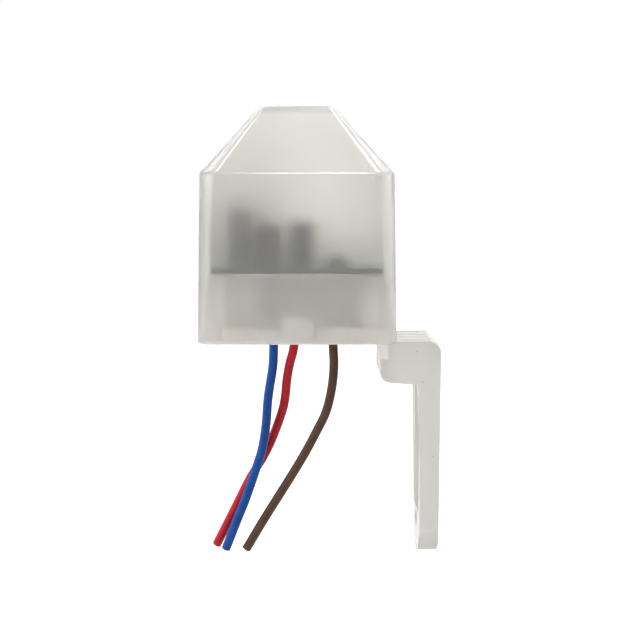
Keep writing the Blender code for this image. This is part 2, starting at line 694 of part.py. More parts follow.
def leg_hollow():
    """Hollow in the leg's inner side, deeper towards its lower end above the screw hole's pad."""
    half = BRACKET_WIDTH / 2 - POCKET_WALL
    top = ARM_BOTTOM - POCKET_START
    bottom = HOLE_LEVEL + WALL_HOLE_DIAMETER / 2 + PAD_WALL
    corner = min(POCKET_CORNER, half / 2)
    outline = [(-half, top), (half, top)]
    for way in (1, -1):
        arc = []
        for step in range(ARC_STEPS + 1):
            angle = math.pi / 2 * step / ARC_STEPS
            arc.append((way * (half - corner + corner * math.cos(angle)), bottom + corner * (1 - math.sin(angle))))
        outline += arc[::way]
    loops = [[Vector((LEG_INNER - CUT_MARGIN, across, level)) for across, level in outline]]
    floor = []
    for across, level in outline:
        share = (top - level) / (top - bottom)
        depth = POCKET_SHALLOW + (POCKET_DEPTH - POCKET_SHALLOW) * share
        floor.append(Vector((LEG_INNER + depth, across, level)))
    loops.append(floor)
    return loft(loops)


def arm_chamfer(way):
    """Wedge that bevels an upright edge of the arm's free end and runs out lower down."""
    arm_end = WALL_REACH - ARM_LENGTH
    side = way * BRACKET_WIDTH / 2
    top, even = ARM_TOP + CUT_MARGIN, ARM_TOP - ARM_CHAMFER_RUN
    outside = (arm_end - CUT_MARGIN, side + way * CUT_MARGIN)
    corners = [(arm_end - NUDGE, side + way * NUDGE, even - ARM_CHAMFER_END), (*outside, even - ARM_CHAMFER_END)]
    for level in (top, even):
        corners += [(arm_end + ARM_CHAMFER, side + way * NUDGE, level),
                    (arm_end - NUDGE, side - way * ARM_CHAMFER, level), (*outside, level)]
    shape = bmesh.new()
    bmesh.ops.convex_hull(shape, input=[shape.verts.new(corner) for corner in corners])
    return shape


def wall_hole():
    """Round screw hole through the leg's foot."""
    radius = WALL_HOLE_DIAMETER / 2
    loops = []
    for reach in (LEG_INNER - CUT_MARGIN, WALL_REACH + CUT_MARGIN):
        ring = []
        for side in range(ROUND_SIDES):
            angle = 2 * math.pi * side / ROUND_SIDES
            ring.append(Vector((reach, radius * math.cos(angle), HOLE_LEVEL + radius * math.sin(angle))))
        loops.append(ring)
    return loft(loops)


def tongue_shape():
    """Flat tongue under the base with its upturned tab, one outline extruded and narrowed at the tab."""
    join = max(WALL_REACH - ARM_LENGTH + ARM_DEPTH / 4, CAP_RIM_WIDTH / 2 - CAP_CLEARANCE)
    tab_end = TONGUE_END + TAB_THICKNESS
    outline = [
        (join, TONGUE_BOTTOM), (join, TONGUE_TOP), (tab_end, TONGUE_TOP), (TONGUE_END, TONGUE_TOP),
        (TONGUE_END, TONGUE_BOTTOM),
    ]
    loops = []
    for across in (-TONGUE_WIDTH / 2, -TAB_WIDTH / 2, TAB_WIDTH / 2, TONGUE_WIDTH / 2):
        loops.append([Vector((reach, across, level)) for reach, level in outline])
    shape = loft(loops)
    tab_faces = []
    for face in shape.faces:
        on_top = all(abs(corner.co.z - TONGUE_TOP) < NUDGE for corner in face.verts)
        by_end = all(corner.co.x < tab_end + NUDGE for corner in face.verts)
        in_middle = all(abs(corner.co.y) < TAB_WIDTH / 2 + NUDGE for corner in face.verts)
        if on_top and by_end and in_middle:
            tab_faces.append(face)
    raised = bmesh.ops.extrude_face_region(shape, geom=tab_faces)
    moved = [item for item in raised["geom"] if isinstance(item, bmesh.types.BMVert)]
    bmesh.ops.translate(shape, vec=(0, 0, TAB_RISE), verts=moved)
    bmesh.ops.delete(shape, geom=tab_faces, context="FACES")
    return shape


def make_screw():
    """Countersunk screw from under the tongue into the nut."""
    low = TONGUE_BOTTOM
    top = nut_seat() + NUT_HEIGHT + SCREW_TAIL
    radius = SCREW_DIAMETER / 2
    path = [(SCREW_HEAD_DIAMETER / 2, low), (SCREW_HEAD_DIAMETER / 2, low + SCREW_HEAD_LIP),
            (radius, low + SCREW_HEAD_HEIGHT), (radius, top - SCREW_TIP_BEVEL), (radius - SCREW_TIP_BEVEL, top)]
    screw = place_mesh("bracket_screw", turned(path, SCREW_PLACE, 0.0, 16),
                       plain_material("screw_steel", (0.60, 0.60, 0.58), 0.35, 1.0))
    slot = box((SCREW_PLACE - SCREW_SLOT_WIDTH / 2, -SCREW_HEAD_DIAMETER, low - CUT_MARGIN),
               (SCREW_PLACE + SCREW_SLOT_WIDTH / 2, SCREW_HEAD_DIAMETER, low + SCREW_SLOT_DEPTH))
    boolean(screw, [slot], "DIFFERENCE")
    return screw


def make_nut():
    low, high = nut_seat(), nut_seat() + NUT_HEIGHT
    nut = place_mesh("bracket_nut", upright_hexagon(SCREW_PLACE, 0.0, NUT_FLATS, low, high),
                     plain_material("nut_steel", (0.62, 0.62, 0.60), 0.4, 1.0))
    bore = upright_rod(SCREW_PLACE, 0.0, SCREW_DIAMETER / 2 + GAP, low - CUT_MARGIN, high + CUT_MARGIN, 16)
    boolean(nut, [bore], "DIFFERENCE")
    return nut


# Board parts

def body_base():
    return BOARD_TOP + SEAT


def spread_out(piece):
    """Fits a finished board part to the board's size."""
    piece.data.transform(Matrix.Diagonal((BOARD_SPREAD, BOARD_SPREAD, 1.0, 1.0)))


def stand_pins(piece, places, top, diameter=PIN_DIAMETER):
    boolean(piece, [pin(place_x, place_y, top, diameter) for place_x, place_y in places], "UNION")
    spread_out(piece)


def make_relay():
    centre_x, centre_y = RELAY_PLACE
    width, length, height = RELAY_SIZE
    low = (centre_x - width / 2, centre_y - length / 2, body_base())
    high = (centre_x + width / 2, centre_y + length / 2, body_base() + height)
    case_material = plain_material("relay_case", (0.03, 0.03, 0.035), 0.4)
    relay = place_mesh("relay", soft_box(low, high, RELAY_EDGE), case_material)
    spread_x, spread_y = RELAY_PIN_SPREAD
    places = []
    for way_x in (-1, 1):
        for way_y in (-1, 1):
            places.append((centre_x + way_x * spread_x / 2, centre_y + way_y * spread_y / 2))
    stand_pins(relay, places, body_base() + PIN_BURIED, RELAY_PIN_DIAMETER)


def make_dropper_capacitor():
    centre_x, centre_y = DROPPER_PLACE
    width, length, height = DROPPER_SIZE
    low = (centre_x - width / 2, centre_y - length / 2, body_base())
    high = (centre_x + width / 2, centre_y + length / 2, body_base() + height)
    body = soft_box(low, high, DROPPER_ROUND, 3)
    piece = place_mesh("dropper_capacitor", body, plain_material("dipped_film", (0.16, 0.03, 0.02), 0.3))
    places = [(centre_x, centre_y + way * DROPPER_PIN_PITCH / 2) for way in (-1, 1)]
    stand_pins(piece, places, body_base() + 2 * PIN_BURIED)


def make_smoothing_capacitor():
    low, high = body_base(), body_base() + CAN_HEIGHT
    radius = CAN_DIAMETER / 2
    groove = low + CAN_GROOVE_LEVEL
    path = [
        (radius - CAN_EDGE, low), (radius, low + CAN_EDGE), (radius, groove - CAN_GROOVE_REACH),
        (radius - CAN_GROOVE, groove), (radius, groove + CAN_GROOVE_REACH), (radius, high - CAN_EDGE),
        (radius - CAN_EDGE, high), (radius - CAN_TOP_RIM, high - CAN_TOP_DIP),
    ]
    sleeve_material = plain_material("can_sleeve", (0.02, 0.02, 0.03), 0.35)
    piece = place_mesh("smoothing_capacitor", turned(path, *CAN_PLACE, 20), sleeve_material)
    places = [(CAN_PLACE[0], CAN_PLACE[1] + way * CAN_PIN_PITCH / 2) for way in (-1, 1)]
    stand_pins(piece, places, low + PIN_BURIED)


def make_ceramic_capacitor():
    """Lens-shaped disc standing on edge, turned about its own level axis."""
    centre_x, centre_y = CERAMIC_PLACE
    radius, half = CERAMIC_DIAMETER / 2, CERAMIC_THICKNESS / 2
    middle = body_base() + radius + SEAT
    lower_half = [(radius * 0.35, -half), (radius * 0.8, -half * 0.75), (radius, -half * 0.25)]
    upper_half = [(reach, -level) for reach, level in reversed(lower_half)]
    disc = turned(lower_half + upper_half, 0.0, 0.0, 16)
    bmesh.ops.rotate(disc, cent=(0, 0, 0), matrix=Matrix.Rotation(math.pi / 2, 3, "X"), verts=disc.verts)
    bmesh.ops.translate(disc, vec=(centre_x, centre_y, middle), verts=disc.verts)
    piece = place_mesh("ceramic_capacitor", disc, plain_material("ceramic_dip", (0.45, 0.22, 0.05), 0.5))
    places = [(centre_x + way * CERAMIC_PIN_PITCH / 2, centre_y) for way in (-1, 1)]
    stand_pins(piece, places, middle - radius * 0.4)


def make_transistor():
    """D-shaped body on three pins."""
    centre_x, centre_y = TRANSISTOR_PLACE
    radius = TRANSISTOR_DIAMETER / 2
    low = BOARD_TOP + TRANSISTOR_STAND
    flat_angle = math.acos(TRANSISTOR_FLAT / radius)
    sweep = 2 * (math.pi - flat_angle)
    loops = []
    for level in (low, low + TRANSISTOR_HEIGHT):
        loop = []
        for step in range(13):
            angle = -math.pi / 2 + flat_angle + sweep * step / 12
            loop.append(round_point(centre_x, centre_y, radius, angle, level))
        loops.append(loop)
    piece = place_mesh("transistor", loft(loops), plain_material("transistor_epoxy", (0.03, 0.03, 0.03), 0.5))
    places = [(centre_x + way * TRANSISTOR_PIN_PITCH, centre_y) for way in (-1, 0, 1)]
    stand_pins(piece, places, low + PIN_BURIED)


def make_light_sensor():
    """Disc with two flat sides that faces up, on two long pins. Returns its lower level."""
    centre_x, centre_y = SENSOR_PLACE
    high = CAP_HEIGHT - SENSOR_BELOW_TOP
    low = high - SENSOR_THICKNESS
    half_arc = math.asin(SENSOR_FLAT / (SENSOR_DIAMETER / 2))
    loops = []
    full, inset = SENSOR_DIAMETER / 2, SENSOR_DIAMETER / 2 - SENSOR_EDGE
    for level, radius in ((low, inset), (low + SENSOR_EDGE, full), (high - SENSOR_EDGE, full), (high, inset)):
        loop = []
        for middle in (0.0, math.pi):
            for step in range(9):
                loop.append(round_point(centre_x, centre_y, radius, middle + half_arc * (step / 4 - 1), level))
        loops.append(loop)
    piece = place_mesh("light_sensor", loft(loops), plain_material("sensor_ceramic", (0.70, 0.45, 0.30), 0.4))
    stand_pins(piece, sensor_pins(), low + SENSOR_THICKNESS / 3)
    return low


def sensor_pins():
    centre_x, centre_y = SENSOR_PLACE
    return [(centre_x + way * SENSOR_PIN_PITCH / 2, centre_y) for way in (-1, 1)]


def make_sensor_sleeves(disc_low):
    """Two insulating sleeves, one on each long pin of the light sensor."""
    low, high = BOARD_TOP + SLEEVE_CLEARANCE, disc_low - SLEEVE_CLEARANCE
    inner, outer = PIN_DIAMETER / 2 + GAP, SLEEVE_DIAMETER / 2
    material = plain_material("sleeve_white", (0.75, 0.74, 0.70), 0.5)
    path = [(inner, low), (outer, low), (outer, high), (inner, high)]
    for number, (place_x, place_y) in enumerate(sensor_pins(), 1):
        spread_out(place_mesh(f"sensor_sleeve_{number}", ring_of(path, place_x, place_y, 10), material))


def ring_of(path, centre_x, centre_y, sides):
    """Ring turned about an upright axis from a closed path of (radius, level) points."""
    shape = bmesh.new()
    rings = []
    for radius, level in path:
        ring = []
        for side in range(sides):
            angle = 2 * math.pi * side / sides
            ring.append(shape.verts.new(round_point(centre_x, centre_y, radius, angle, level)))
        rings.append(ring)
    for index, ring in enumerate(rings):
        other = rings[(index + 1) % len(rings)]
        for side in range(sides):
            following = (side + 1) % sides
            shape.faces.new((ring[side], ring[following], other[following], other[side]))
    return shape


def make_axial(name, place_x, place_y, length, diameter, pitch, material, dumbbell=False):
    """Part that lies along X: one bar swept up through the board, along through its body and down again."""
    radius = PIN_DIAMETER / 2
    axis_level = body_base() + diameter / 2
    left, right = place_x - pitch / 2, place_x + pitch / 2
    for side in (left, right):
        pin_places.append((side, place_y, radius + GAP))
    rise = pin_stations(left, place_y, axis_level - AXIAL_BEND)
    fall = pin_stations(right, place_y, axis_level - AXIAL_BEND)[::-1]
    half = length / 2
    full = diameter / 2
    left_end = [(-half, radius), (-half + THIN_STEP, full * AXIAL_FACE_SHARE), (-half + AXIAL_EDGE, full)]
    if dumbbell:
        left_end += [(-half * AXIAL_BEAD_START, full), (-half * AXIAL_WAIST_END, full * AXIAL_WAIST)]
    body = left_end + [(-offset, size) for offset, size in reversed(left_end)]
    along = [(Vector((left + AXIAL_BEND, place_y, axis_level)), radius)]
    along += [(Vector((place_x + offset, place_y, axis_level)), size) for offset, size in body]
    along.append((Vector((right - AXIAL_BEND, place_y, axis_level)), radius))
    spread_out(place_mesh(name, swept(rise + along + fall, 10), material))


def make_axial_parts():
    diode_material = plain_material("diode_epoxy", (0.03, 0.03, 0.03), 0.45)
    for index in range(DIODE_COUNT):
        place_y = DIODE_FIRST_Y + index * DIODE_SPACING
        make_axial(f"rectifier_diode_{index + 1}", DIODE_PLACE_X, place_y, DIODE_LENGTH, DIODE_DIAMETER,
                   AXIAL_PIN_PITCH, diode_material)
    zener_material = plain_material("zener_glass", (0.55, 0.15, 0.05), 0.15)
    make_axial("zener_diode", *ZENER_PLACE, ZENER_LENGTH, ZENER_DIAMETER, AXIAL_PIN_PITCH, zener_material)
    resistor_material = plain_material("resistor_lacquer", (0.55, 0.42, 0.26), 0.45)
    for index, name in enumerate(RESISTOR_NAMES):
        make_axial(name, RESISTOR_PLACE_X, RESISTOR_FIRST_Y + index * RESISTOR_SPACING, RESISTOR_LENGTH,
                   RESISTOR_DIAMETER, AXIAL_PIN_PITCH, resistor_material, dumbbell=True)
    discharge_material = plain_material("power_resistor_lacquer", (0.25, 0.35, 0.38), 0.5)
    make_axial("discharge_resistor", *DISCHARGE_PLACE, DISCHARGE_LENGTH, DISCHARGE_DIAMETER,
               DISCHARGE_PIN_PITCH, discharge_material, dumbbell=True)


def make_board():
    """Board with cut corners, peg holes and one hole for every pin."""
    half, cut = BOARD_HALF, BOARD_CORNER_CUT
    outline = []
    for quarter in range(4):
        spin = Matrix.Rotation(quarter * math.pi / 2, 2)
        outline += [spin @ Vector((half, half - cut)), spin @ Vector((half - cut, half))]
    loops = [[Vector((x, y, level)) for x, y in outline] for level in (BOARD_LEVEL, BOARD_TOP)]
    board = place_mesh("circuit_board", loft(loops), plain_material("board_green", (0.05, 0.16, 0.09), 0.5))
    below, above = BOARD_LEVEL - CUT_MARGIN, BOARD_TOP + CUT_MARGIN
    holes = []
    for place in pin_places:
        place_x, place_y, radius = [size * BOARD_SPREAD for size in place]
        holes.append(upright_rod(place_x, place_y, radius, below, above, 8))
    peg_clear = PEG_DIAMETER / 2 + GAP
    for way_x in (-1, 1):
        for way_y in (-1, 1):
            holes.append(upright_rod(way_x * POST_PLACE, way_y * POST_PLACE, peg_clear, below, above, 12))
    boolean(board, holes, "DIFFERENCE")


# Leads

def smooth_route(points, spacing):
    """Points at an even spacing along the smooth curve through a route's own points."""
    knots = [Vector(point) for point in points]
    ends = [knots[0] * 2 - knots[1]] + knots + [knots[-1] * 2 - knots[-2]]
    fine = []
    for first, second, third, fourth in zip(ends, ends[1:], ends[2:], ends[3:]):
        bend = 2 * first - 5 * second + 4 * third - fourth
        twist = 3 * second - first - 3 * third + fourth
        for step in range(20):
            t = step / 20
            fine.append(0.5 * (2 * second + (third - first) * t + bend * t ** 2 + twist * t ** 3))
    fine.append(knots[-1])
    lengths = [0.0]
    for before, after in zip(fine, fine[1:]):
        lengths.append(lengths[-1] + (after - before).length)
    count = max(round(lengths[-1] / spacing), 2)
    route = []
    index = 0
    for place in range(count + 1):
        target = lengths[-1] * place / count
        while index < len(fine) - 2 and lengths[index + 1] < target:
            index += 1
        share = (target - lengths[index]) / (lengths[index + 1] - lengths[index])
        route.append(fine[index].lerp(fine[index + 1], share))
    return route


def make_leads():
    for (name, route, colour), (axis_x, axis_y) in zip(LEADS, lead_axes()):
        start = (axis_x, axis_y, BOARD_LEVEL - GAP)
        middle = (axis_x, axis_y, BOARD_LEVEL / 2)
        below = [(x * ROUTE_SPREAD, y, z) for x, y, z in route]
        points = smooth_route([start, middle, *below], LEAD_POINT_SPACING)
        curve = bpy.data.curves.new(name, "CURVE")
        curve.dimensions = "3D"
        curve.bevel_depth = LEAD_DIAMETER / 2
        curve.bevel_resolution = 2
        curve.use_fill_caps = True
        line = curve.splines.new("POLY")
        line.points.add(len(points) - 1)
        for target, point in zip(line.points, points):
            target.co = (*point, 1.0)
        curve.materials.append(plain_material(f"{name}_pvc", colour, 0.4))
        lead = bpy.data.objects.new(name, curve)
        lead.parent = frame_empty
        bpy.context.scene.collection.objects.link(lead)


make_cap()
make_base()
make_bracket()
make_screw()
make_nut()
make_relay()
make_dropper_capacitor()
make_smoothing_capacitor()
make_ceramic_capacitor()
make_transistor()
make_sensor_sleeves(make_light_sensor())
make_axial_parts()
make_board()
make_leads()
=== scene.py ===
import math

import bmesh
import bpy
from mathutils import Matrix, Vector


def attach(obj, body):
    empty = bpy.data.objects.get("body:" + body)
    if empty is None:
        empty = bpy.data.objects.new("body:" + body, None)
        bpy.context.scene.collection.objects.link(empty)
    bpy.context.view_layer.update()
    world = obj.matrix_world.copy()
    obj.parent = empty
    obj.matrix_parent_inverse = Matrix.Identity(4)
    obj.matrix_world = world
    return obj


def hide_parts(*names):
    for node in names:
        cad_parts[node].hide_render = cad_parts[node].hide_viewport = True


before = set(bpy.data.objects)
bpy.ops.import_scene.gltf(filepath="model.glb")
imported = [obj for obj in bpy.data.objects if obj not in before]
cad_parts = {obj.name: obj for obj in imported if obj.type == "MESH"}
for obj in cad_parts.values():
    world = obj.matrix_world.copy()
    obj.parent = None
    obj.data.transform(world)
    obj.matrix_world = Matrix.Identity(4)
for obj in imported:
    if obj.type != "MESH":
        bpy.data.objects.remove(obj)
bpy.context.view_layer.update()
print("frame loaded:", len(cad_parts), "nodes")

# the housing's axis at the cap's rim, seen from the wall face's origin
housing = {"acrossX": -0.0384, "rimLevel": 0.033125}


def fromRim(x, y, z):
    return Vector((x + housing["acrossX"], y, z + housing["rimLevel"]))


# camera, level with the upper part of the cap and tipped a little down
cameraSettings = {
    "place": (-0.0384, -0.330, 0.0900),
    "tip": 83.5,
    "lens": 68.94,
    "sensor": 36,
    "shift": (0.0359, -0.0966),
    "clip": (0.01, 20),
}


def makeCamera(s):
    lensData = bpy.data.cameras.new("studioCamera")
    lensData.sensor_width = s["sensor"]
    lensData.lens = s["lens"]
    lensData.shift_x, lensData.shift_y = s["shift"]
    lensData.clip_start, lensData.clip_end = s["clip"]
    camera = bpy.data.objects.new("studioCamera", lensData)
    camera.location = s["place"]
    camera.rotation_euler = (math.radians(s["tip"]), 0, 0)
    bpy.context.scene.collection.objects.link(camera)
    bpy.context.scene.camera = camera


makeCamera(cameraSettings)
print("camera placed")


# shared helpers for meshes
def asPiece(name, mesh, finish=None):
    piece = bpy.data.objects.new(name, mesh)
    bpy.context.scene.collection.objects.link(piece)
    if finish is not None:
        mesh.materials.clear()
        mesh.materials.append(finish)
    return piece


def meshOf(name, shape, sharpAngle):
    bmesh.ops.recalc_face_normals(shape, faces=shape.faces)
    mesh = bpy.data.meshes.new(name)
    shape.to_mesh(mesh)
    shape.free()
    mesh.shade_smooth()
    mesh.set_sharp_from_angle(angle=math.radians(sharpAngle))
    return mesh


def settle(piece):
    # turns live modifiers into plain mesh
    evaluated = piece.evaluated_get(bpy.context.evaluated_depsgraph_get())
    plain = bpy.data.meshes.new_from_object(evaluated)
    piece.modifiers.clear()
    plain.name = piece.name
    piece.data = plain
    return piece


def evenShading(piece):
    # keeps broad flat faces flat beside their rounded edges
    weighted = piece.modifiers.new("evenShading", "WEIGHTED_NORMAL")
    weighted.mode = "FACE_AREA"
    weighted.weight = 100
    weighted.keep_sharp = True
    settle(piece)


def cutAway(piece, shapes):
    together = bmesh.new()
    for shape in shapes:
        bmesh.ops.recalc_face_normals(shape, faces=shape.faces)
        part = bpy.data.meshes.new("cutter")
        shape.to_mesh(part)
        together.from_mesh(part)
        bpy.data.meshes.remove(part)
        shape.free()
    cutterMesh = bpy.data.meshes.new("cutter")
    together.to_mesh(cutterMesh)
    together.free()
    cutter = bpy.data.objects.new("cutter", cutterMesh)
    bpy.context.scene.collection.objects.link(cutter)
    cut = piece.modifiers.new("cut", "BOOLEAN")
    cut.operation, cut.object, cut.solver = "DIFFERENCE", cutter, "EXACT"
    settle(piece)
    bpy.data.objects.remove(cutter, do_unlink=True)


def skin(loops):
    # joins the loops in turn, then closes the first and the last
    shape = bmesh.new()
    rings = [[shape.verts.new(point) for point in loop] for loop in loops]
    for ring, nextRing in zip(rings, rings[1:]):
        for i, corner in enumerate(ring):
            j = (i + 1) % len(ring)
            shape.faces.new((corner, ring[j], nextRing[j], nextRing[i]))
    shape.faces.new(reversed(rings[0]))
    shape.faces.new(rings[-1])
    return shape


def block(low, high):
    shape = bmesh.new()
    bmesh.ops.create_cube(shape, size=1.0)
    bmesh.ops.scale(shape, vec=Vector(high) - Vector(low), verts=shape.verts)
    bmesh.ops.translate(shape, vec=(Vector(low) + Vector(high)) / 2, verts=shape.verts)
    return shape


# shared helpers for finishes
def newFinish(name):
    finish = bpy.data.materials.new(name)
    finish.use_nodes = True
    return finish, finish.node_tree, finish.node_tree.nodes["Principled BSDF"]


def addNode(tree, kind, **settings):
    node = tree.nodes.new(kind)
    for key, value in settings.items():
        setattr(node, key, value)
    return node


def objectPlace(tree, scale=(1, 1, 1)):
    coords = addNode(tree, "ShaderNodeTexCoord")
    mapping = addNode(tree, "ShaderNodeMapping")
    mapping.inputs["Scale"].default_value = scale
    tree.links.new(coords.outputs["Object"], mapping.inputs["Vector"])
    return mapping.outputs["Vector"]


def speckle(tree, place, scale, detail=3.0, roughness=0.55):
    noise = addNode(tree, "ShaderNodeTexNoise")
    noise.inputs["Scale"].default_value = scale
    noise.inputs["Detail"].default_value = detail
    noise.inputs["Roughness"].default_value = roughness
    tree.links.new(place, noise.inputs["Vector"])
    return noise.outputs["Fac"]


def ramp(tree, source, stops):
    node = addNode(tree, "ShaderNodeValToRGB")
    points = node.color_ramp.elements
    while len(points) < len(stops):
        points.new(0.5)
    for point, (position, colour) in zip(points, stops):
        point.position = position
        point.color = (*colour, 1)
    tree.links.new(source, node.inputs["Fac"])
    return node.outputs["Color"]


def greys(steps):
    return [(at, (level, level, level)) for at, level in steps]


def shadeOf(colour, share):
    return tuple(channel * share for channel in colour)


def spanOf(tree, source, low, high, toLow, toHigh):
    node = addNode(tree, "ShaderNodeMapRange")
    for key, value in (("From Min", low), ("From Max", high), ("To Min", toLow), ("To Max", toHigh)):
        node.inputs[key].default_value = value
    tree.links.new(source, node.inputs["Value"])
    return node.outputs["Result"]


def mathOf(tree, operation, first, second=None):
    node = addNode(tree, "ShaderNodeMath", operation=operation)
    for socket, value in zip(node.inputs, (first, second)):
        if value is None:
            continue
        if isinstance(value, (int, float)):
            socket.default_value = value
        else:
            tree.links.new(value, socket)
    return node.outputs["Value"]


def mixColours(tree, share, first, second, how="MIX"):
    node = addNode(tree, "ShaderNodeMix", data_type="RGBA", blend_type=how)
    for socket, value in ((node.inputs[0], share), (node.inputs[6], first), (node.inputs[7], second)):
        if isinstance(value, (int, float)):
            socket.default_value = value
        elif isinstance(value, tuple):
            socket.default_value = (*value, 1)
        else:
            tree.links.new(value, socket)
    return node.outputs[2]


def partsOf(tree, place):
    node = addNode(tree, "ShaderNodeSeparateXYZ")
    tree.links.new(place, node.inputs["Vector"])
    return node.outputs["X"], node.outputs["Y"], node.outputs["Z"]


def bumpFrom(tree, shader, heights):
    # chains (height, depth in metres) pairs into one normal
    normal = None
    for height, depth in heights:
        node = addNode(tree, "ShaderNodeBump")
        node.inputs["Strength"].default_value = 1.0
        node.inputs["Distance"].default_value = depth
        tree.links.new(height, node.inputs["Height"])
        if normal is not None:
            tree.links.new(normal, node.inputs["Normal"])
        normal = node.outputs["Normal"]
    tree.links.new(normal, shader.inputs["Normal"])


# leads: the route from the board down to the cut ends, the tube and its copper strands
leads = {
    "diameter": 0.0025,
    "topLevel": 0.0175,
    "midLevel": 0.0089,
    "pointSpacing": 0.0022,
    "curveSteps": 24,
    "sides": 28,
    "lip": 0.00008,
    "bore": 0.00078,
    "boreDepth": 0.0006,
    "uvLength": 0.010,
    "sharpAngle": 50,
    "strands": 19,
    "strandRadius": 0.000125,
    "strandSides": 10,
    "strandProud": 0.00035,
    "strandShortest": 0.86,
    "goldenTurn": 2.39996,
    "routes": {
        "blue": ((-0.0063, 0, -0.0015), (-0.0064, 0, -0.0055), (-0.0066, 0, -0.0105), (-0.0076, 0, -0.0168),
                 (-0.0081, 0, -0.0208), (-0.0085, 0, -0.0266), (-0.0095, 0, -0.0332), (-0.0111, 0, -0.0386),
                 (-0.0142, 0, -0.0478), (-0.0167, 0, -0.0541), (-0.0198, 0, -0.0622)),
        "red": ((-0.0007, 0, -0.0015), (-0.0009, 0.0002, -0.0056), (-0.0020, 0.0006, -0.0099),
                (-0.0028, 0.0011, -0.0145), (-0.0032, 0.0016, -0.0190), (-0.0041, 0.0022, -0.0236),
                (-0.0069, 0.0030, -0.0315), (-0.0096, 0.0034, -0.0372), (-0.0130, 0.0035, -0.0428),
                (-0.0176, 0.0035, -0.0521), (-0.0226, 0.0035, -0.0622)),
        "brown": ((0.0098, 0, -0.0015), (0.0099, 0, -0.0055), (0.0101, 0, -0.0105), (0.0095, 0, -0.0168),
                  (0.0080, 0, -0.0232), (0.0056, 0, -0.0283), (0.0024, 0, -0.0345), (-0.0012, 0, -0.0407),
                  (-0.0053, 0, -0.0474), (-0.0094, 0, -0.0541), (-0.0141, 0, -0.0622)),
    },
    "lengths": {"blue": 0.0817, "red": 0.0845, "brown": 0.0858},
    "colours": {"blue": (0.005, 0.062, 0.28), "red": (0.43, 0.012, 0.022), "brown": (0.080, 0.041, 0.024)},
    "copper": ((0.62, 0.25, 0.13), (0.90, 0.46, 0.28), (0.95, 0.58, 0.38)),
    "vinyl": {"gloss": (0.36, 0.50), "shine": 0.20, "cloudScale": 420, "grainScale": 5200,
              "grainDepth": 0.000006, "lineScale": (60, 2.5, 1), "lineDepth": 0.000012},
}


def leadVinyl(name, colour, s):
    # smooth extruded insulation with faint lines along it and slightly chalky patches
    finish, tree, shader = newFinish(name)
    coords = addNode(tree, "ShaderNodeUVMap", uv_map="alongLead")
    fineLines = addNode(tree, "ShaderNodeMapping")
    fineLines.inputs["Scale"].default_value = s["lineScale"]
    tree.links.new(coords.outputs["UV"], fineLines.inputs["Vector"])
    lines = speckle(tree, fineLines.outputs["Vector"], 1.0, 2.0)
    place = objectPlace(tree)
    cloud = speckle(tree, place, s["cloudScale"], 3.0)
    grain = speckle(tree, place, s["grainScale"], 2.0)
    paler = tuple(channel + 0.006 for channel in shadeOf(colour, 1.12))
    tone = ramp(tree, cloud, [(0.32, shadeOf(colour, 0.82)), (0.5, colour), (0.72, paler)])
    tree.links.new(tone, shader.inputs["Base Color"])
    tree.links.new(spanOf(tree, cloud, 0.3, 0.7, *s["gloss"]), shader.inputs["Roughness"])
    shader.inputs["Specular IOR Level"].default_value = s["shine"]
    bumpFrom(tree, shader, [(lines, s["lineDepth"]), (grain, s["grainDepth"])])
    return finish


def copperStrands(tones):
    finish, tree, shader = newFinish("copperStrands")
    place = objectPlace(tree)
    tarnish = speckle(tree, place, 2600, 3.0)
    tone = ramp(tree, tarnish, list(zip((0.3, 0.6, 0.8), tones)))
    tree.links.new(tone, shader.inputs["Base Color"])
    shader.inputs["Metallic"].default_value = 1.0
    tree.links.new(spanOf(tree, tarnish, 0.3, 0.8, 0.42, 0.22), shader.inputs["Roughness"])
    return finish


def smoothRoute(points, spacing, steps):
    # a smooth curve through the points, cut into equal lengths
    knots = [Vector(point) for point in points]
    ends = [knots[0] * 2 - knots[1]] + knots + [knots[-1] * 2 - knots[-2]]
    fine = []
    for a, b, c, d in zip(ends, ends[1:], ends[2:], ends[3:]):
        for step in range(steps):
            t = step / steps
            fine.append(0.5 * (2 * b + (c - a) * t + (2 * a - 5 * b + 4 * c - d) * t ** 2
                               + (3 * b - a - 3 * c + d) * t ** 3))
    fine.append(knots[-1])
    run = [0.0]
    for before, after in zip(fine, fine[1:]):
        run.append(run[-1] + (after - before).length)
    count = round(run[-1] / spacing)
    route, i = [], 0
    for place in range(count + 1):
        target = run[-1] * place / count
        while i < len(fine) - 2 and run[i + 1] < target:
            i += 1
        route.append(fine[i].lerp(fine[i + 1], (target - run[i]) / (run[i + 1] - run[i])))
    return route


